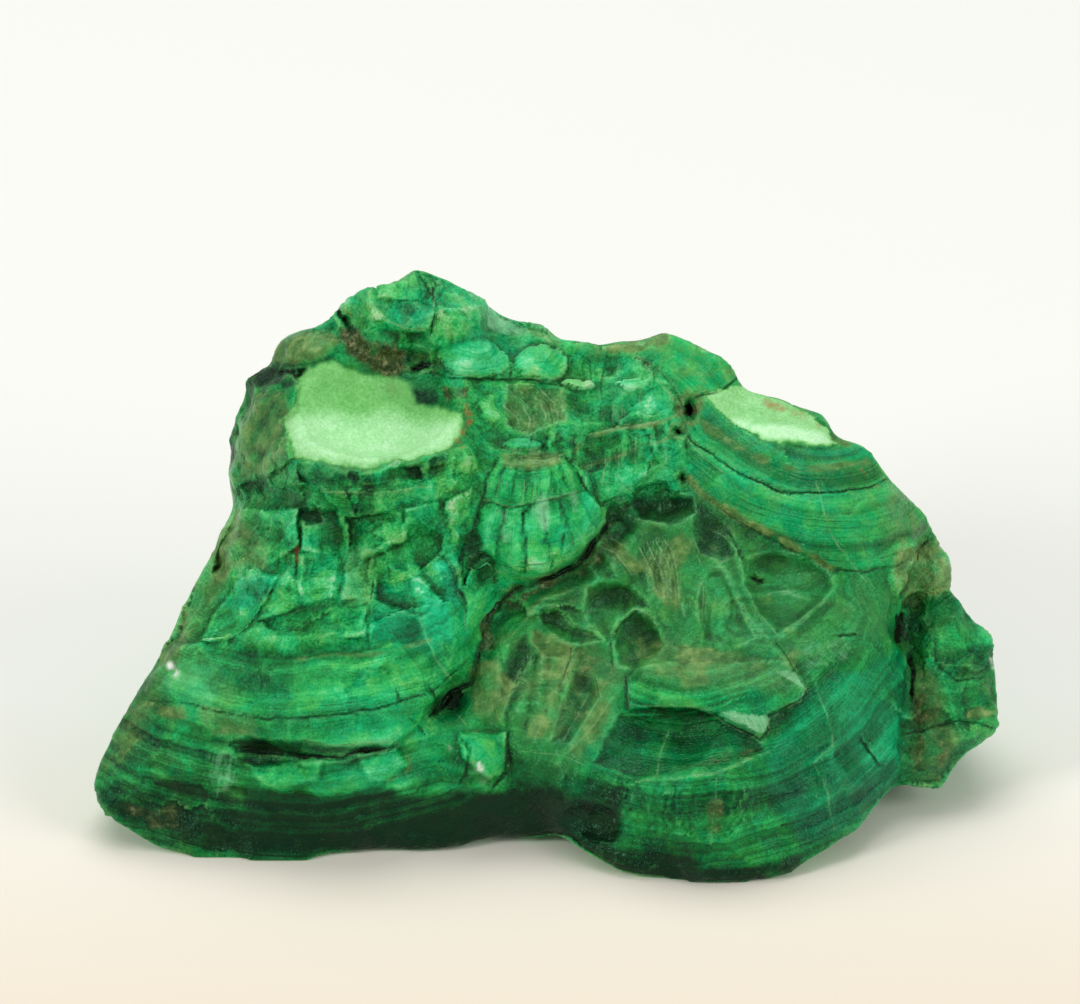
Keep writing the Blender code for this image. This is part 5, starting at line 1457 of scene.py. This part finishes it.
    def crusted(self, colour):
        """Return a colour under the earthy wash and its crust, and how thick the crust is."""
        earthy = self.math("ADD", self.olive, self.product(self.olive_zone, self.span(
            self.mottle, 0.42, 0.66)))
        wash = self.ramp(
            self.level,
            (0.10, (0.015, 0.045, 0.012)),
            (0.48, (0.095, 0.260, 0.065)),
            (0.90, (0.33, 0.56, 0.20)))
        colour = self.mix(self.product(earthy, 0.85), colour, wash)
        share = self.span(self.total(earthy, self.sway(speckle=1.0)), 0.45, 0.95)
        crust = self.ramp(
            self.noise(self.place, scale=600.0, detail=4.0, roughness=0.55),
            (0.34, (0.036, 0.100, 0.020)),
            (0.52, self.looks.crust),
            (0.70, (0.30, 0.43, 0.14)))
        return self.mix(self.product(share, 0.78), colour, crust), share

    def shaded_by_relief(self, colour):
        """Return a colour with painted shade in the hollows and painted highlights on the ridges."""
        # painted shade: near-black green where the surface sinks below its surroundings
        hollow = self.product(self.span(self.proud, -0.15, -0.9),
                              self.span(self.speckle, 0.30, 0.62, 0.25, 1.0))
        colour = self.mix(self.product(hollow, 0.55), colour, (0.018, 0.042, 0.010, 1.0))
        # painted highlight: pale green along sharp ridges
        ridge = self.product(self.span(self.crisp, 0.20, 0.90), self.span(self.mottle, 0.38, 0.58))
        return self.mix(self.product(ridge, 0.28), colour, (0.24, 0.42, 0.17, 1.0))

    def velvety(self, colour, crust_share):
        """Return a colour with the scoops' velvet laid in, thinner under a crust."""
        velvet = self.ramp(
            self.total(self.mint, self.sway(mottle=0.34, speckle=0.25, grit=0.45)),
            (0.20, (0.09, 0.36, 0.08)),
            (0.50, (0.20, 0.56, 0.16)),
            (0.85, self.looks.velvet),
            (1.0, (0.60, 0.90, 0.58)))
        share = self.math("MULTIPLY_ADD", crust_share, -0.6, self.span(self.mint, 0.05, 0.50))
        return self.mix(share, colour, velvet)

    def lined(self, colour, side, drawn, edge, core, broken_up, line_colour):
        """Return a colour with hairlines drawn on it; light ones are painted highlights and dark ones
        painted shadow lines.
        """
        line = self.span(self.math("ABSOLUTE", side), edge, core)
        return self.mix(self.product(line, drawn, broken_up), colour, line_colour)

    def seamed(self, colour):
        """Return a colour with its painted highlight and shadow hairlines, painted sheen, earth, rust,
        the painted shade of open cracks and holes, and painted white glints.
        """
        # painted highlight hairlines
        colour = self.lined(colour, self.light_side, self.light_drawn, 1.4, 0.3,
                            self.span(self.speckle, 0.34, 0.58), (0.24, 0.48, 0.21, 1.0))
        # painted sheen: whitish green reflections laid on silky facets as colour
        sheen_share = self.total(self.silk, self.sway(speckle=0.7, threads=0.6))
        colour = self.mix(self.span(sheen_share, 0.25, 1.15), colour, (0.30, 0.70, 0.38, 1.0))
        earth = self.ramp(
            self.speckle,
            (0.30, (0.012, 0.020, 0.006)),
            (0.52, (0.058, 0.078, 0.022)),
            (0.70, (0.26, 0.25, 0.12)))
        soiled = self.total(self.dirt, self.sway(mottle=1.1))
        colour = self.mix(self.span(soiled, 0.22, 0.70), colour, earth)
        rusty = self.product(self.rust, self.span(self.speckle, 0.36, 0.60))
        colour = self.mix(rusty, colour, (0.36, 0.10, 0.035, 1.0))
        # painted shadow hairlines
        colour = self.lined(colour, self.dark_side, self.dark_drawn, 1.3, 0.4,
                            self.span(self.mottle, 0.36, 0.54), (0.003, 0.022, 0.008, 1.0))
        # painted shade in open cracks, holes, pockets and under overhangs
        opened = self.total(self.black, self.sway(speckle=0.75))
        colour = self.mix(self.span(opened, 0.44, 0.62), colour, (0.005, 0.006, 0.003, 1.0))
        # painted glints
        return self.mix(self.white, colour, (0.85, 0.92, 0.82, 1.0))

    def gloss(self):
        """Return the roughness: silky on fibres, dull in the scoops and on crusts."""
        gloss = self.total(self.sway(cloud=-0.35, threads=0.2), self.share(mint=0.30, olive=0.15),
                           self.looks.roughness)
        return self.math("MAXIMUM", gloss, 0.15)

    def relief(self):
        """Return the bump of bands, fibres, chips and grain, which the velvet evens out."""
        relief = self.total(
            self.product(self.sway(narrow=0.5, lines=0.1), self.bands),
            self.product(self.total(self.sway(threads=0.05), self.share(sheaves=2.0)), self.fibres),
            self.product(self.scales, 1.8, self.split),
            self.product(self.total(self.share(large=6.0, small=3.2), self.sway(mottle=0.7)),
                         self.broken),
            self.product(self.sway(speckle=1.0, grit=0.8), self.grainy))
        relief = self.product(relief, self.span(self.mint, 0.05, 0.30, 1.0, 0.14))
        bump = self.node("ShaderNodeBump", {"Height": relief, "Distance": BUMP_DEPTH,
                                            "Strength": 1.0})
        return bump.outputs[0]


def malachite_material(looks):
    """Return the stone's material."""
    paint = MalachitePaint(looks)
    colour, crust_share = paint.crusted(paint.greens())
    colour = paint.seamed(paint.velvety(paint.shaded_by_relief(colour), crust_share))
    return paint.painted(Base_Color=colour, Roughness=paint.gloss(), Specular_IOR_Level=0.36,
                         Specular_Tint=(0.35, 1.0, 0.55, 1.0), Normal=paint.relief())


def floor_material(stage):
    """Return the plain pale floor's paint, a little creamier towards the viewer."""
    graph = Graph("pale_floor")
    place = graph.node("ShaderNodeTexCoord").outputs["Object"]
    parted = graph.node("ShaderNodeSeparateXYZ", {"Vector": place})
    share = graph.span(parted.outputs[1], *FLOOR_FADE)
    colour = graph.mix(share, (*stage.floor_near, 1.0), (*stage.floor_far, 1.0))
    return graph.painted(Base_Color=colour, Roughness=0.9, Specular_IOR_Level=0.1)


# --- Add-on ---
def colour_setting(name, description, default):
    """Return a colour that a user may change."""
    return FloatVectorProperty(name=name, description=description, default=default,
                               subtype="COLOR", size=3)


class StoneLooks(PropertyGroup):
    """Sizes and colours of the stone."""

    mesh_size: FloatProperty(name="Mesh size", description="Size of the stone's faces at the back",
                             default=0.00083, min=0.0003, unit="LENGTH", precision=5)
    smoothing: IntProperty(name="Smoothing", description="Rounds that soften the solid's facets",
                           default=3, min=0)
    band_scale: FloatProperty(name="Bands", description="Growth bands per millimetre",
                              default=1.15, min=0.05)
    lightness: FloatProperty(name="Lightness", description="Shifts all greens lighter or darker",
                             default=0.455, min=0.0, max=1.0, subtype="FACTOR")
    roughness: FloatProperty(name="Roughness", description="Roughness of a broken face",
                             default=0.30, min=0.0, max=1.0, subtype="FACTOR")
    deep_green: colour_setting("Deep green", "Darkest bands", (0.001, 0.060, 0.012))
    body_green: colour_setting("Body green", "Most of the stone", (0.012, 0.350, 0.078))
    bright_green: colour_setting("Bright green", "Light bands and ribs", (0.150, 0.660, 0.240))
    velvet: colour_setting("Velvet", "Worn floor of the scoops", (0.42, 0.80, 0.40))
    crust: colour_setting("Crust", "Earthy skin along seams", (0.120, 0.225, 0.055))


class StageLooks(PropertyGroup):
    """Floor colours and light strengths."""

    floor_far: colour_setting("Floor", "Colour of the floor", (0.89, 0.895, 0.845))
    floor_near: colour_setting("Floor in front", "Floor towards the viewer", (0.85, 0.755, 0.615))
    sky: FloatProperty(name="Sky", description="Strength of the even light", default=0.38, min=0.0)
    overhead: FloatProperty(name="Overhead light", description="Power of the soft light above",
                            default=4.9, min=0.0, unit="POWER")
    side: FloatProperty(name="Side lights", description="Power of each soft light at the sides",
                        default=4.9, min=0.0, unit="POWER")


class MALACHITE_OT_stone(Operator):
    """Build the stone over its solid"""

    bl_idname = "malachite.stone"
    bl_label = "Malachite stone"

    def execute(self, context):
        """Build, shape and paint the stone."""
        looks = context.scene.malachite_stone
        piece = copy_of_node(STONE_NODE)
        apply_modifier(piece, "REMESH", mode="VOXEL", voxel_size=looks.mesh_size)
        if looks.smoothing:
            apply_modifier(piece, "SMOOTH", factor=0.5, iterations=looks.smoothing)
        cut_front_finer(piece)
        mesh = piece.data
        surface = Surface(*places_and_normals(mesh))
        surface.grow()
        surface.strengths = spread(mesh, surface.strengths, ZONE_BLEND)
        surface.lay_patches()
        surface.lay_strokes()
        surface.cut_cracks()
        surface.raise_shelves()
        surface.tilt_facets()
        surface.sink_hollows()
        surface.raise_ridges()
        surface.raise_shells()
        surface.flute()
        surface.draw_hairlines()
        surface.border = borders(mesh, surface.seed)
        surface.strengths[:, [BANDS, FIBRES]] *= 1.0 - surface.border[:, None]
        surface.roughen()
        mesh.vertices.foreach_set("co", (surface.placed() * METRES_PER_MM).ravel())
        mesh.update()
        marks = surface.marks(mesh)
        for name, columns in MARKS.items():
            store(mesh, name, [marks[column] for column in columns])
        only(piece)
        bpy.ops.object.shade_smooth()
        mesh.materials.append(malachite_material(looks))
        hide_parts(STONE_NODE)
        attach(piece, "root")
        return {"FINISHED"}


class MALACHITE_OT_stage(Operator):
    """Lay the floor, hang the lights and set the camera up"""

    bl_idname = "malachite.stage"
    bl_label = "Stage"

    def execute(self, context):
        """Build the stage."""
        stage = context.scene.malachite_stage
        bpy.ops.object.select_all(action="DESELECT")
        bpy.ops.mesh.primitive_circle_add(vertices=96, radius=FLOOR_RADIUS, fill_type="NGON",
                                          location=(0, 0, 0))
        floor = context.object
        floor.name = "floor"
        floor.data.materials.append(floor_material(stage))

        world = bpy.data.worlds.new("studio")
        world.use_nodes = True
        background = world.node_tree.nodes["Background"]
        background.inputs["Color"].default_value = SKY_COLOUR
        background.inputs["Strength"].default_value = stage.sky
        context.scene.world = world

        for name, size, power, place in (
                ("overhead", 0.9, stage.overhead, (-0.08, 0.36, 0.92)),
                ("left", 0.4, stage.side, (-0.85, -0.55, 0.60)),
                ("right", 0.8, stage.side, (0.84, -0.50, 0.45)),
        ):
            bpy.ops.object.light_add(type="AREA", location=place)
            lamp = context.object
            lamp.name = name
            lamp.data.energy = power
            lamp.data.shape = "DISK"
            lamp.data.size = size
            lamp.rotation_euler = (LAMP_AIM - lamp.location).to_track_quat("-Z", "Y").to_euler()

        bpy.ops.object.camera_add()
        camera = context.object
        camera.name = "camera"
        distance = VIEW_DISTANCE * METRES_PER_MM
        camera.location = Vector(FRONT_ORIGIN * METRES_PER_MM) + Vector(SIGHT) * distance
        camera.rotation_euler = Vector(-SIGHT).to_track_quat("-Z", "Y").to_euler()
        camera.data.sensor_width = SENSOR_WIDTH
        camera.data.lens = SENSOR_WIDTH * VIEW_DISTANCE / (FRAME_WIDTH * CHART_STEP)
        camera.data.clip_start, camera.data.clip_end = CLIPPING
        context.scene.camera = camera
        context.scene.view_settings.view_transform = "Standard"
        return {"FINISHED"}


class MALACHITE_PT_panel(Panel):
    """Shows the stone's and the stage's settings, each above its button"""

    bl_label = "Malachite specimen"
    bl_idname = "MALACHITE_PT_panel"
    bl_space_type = "VIEW_3D"
    bl_region_type = "UI"
    bl_category = "Malachite"

    def draw(self, context):
        """Draw the settings above the buttons that use them."""
        for settings, operator in (
                (context.scene.malachite_stone, MALACHITE_OT_stone),
                (context.scene.malachite_stage, MALACHITE_OT_stage),
        ):
            for name in settings.__annotations__:
                self.layout.prop(settings, name)
            self.layout.operator(operator.bl_idname)


CLASSES = (StoneLooks, StageLooks, MALACHITE_OT_stone, MALACHITE_OT_stage, MALACHITE_PT_panel)


def register():
    """Add the add-on's classes and settings."""
    for item in CLASSES:
        bpy.utils.register_class(item)
    bpy.types.Scene.malachite_stone = PointerProperty(type=StoneLooks)
    bpy.types.Scene.malachite_stage = PointerProperty(type=StageLooks)


def unregister():
    """Take the add-on's classes and settings away."""
    del bpy.types.Scene.malachite_stage
    del bpy.types.Scene.malachite_stone
    for item in reversed(CLASSES):
        bpy.utils.unregister_class(item)


def main():
    """Build the pieces and the stage."""
    register()
    bpy.ops.object.select_all(action="DESELECT")
    bpy.ops.malachite.stone()
    bpy.ops.malachite.stage()


if __name__ == "__main__":
    main()
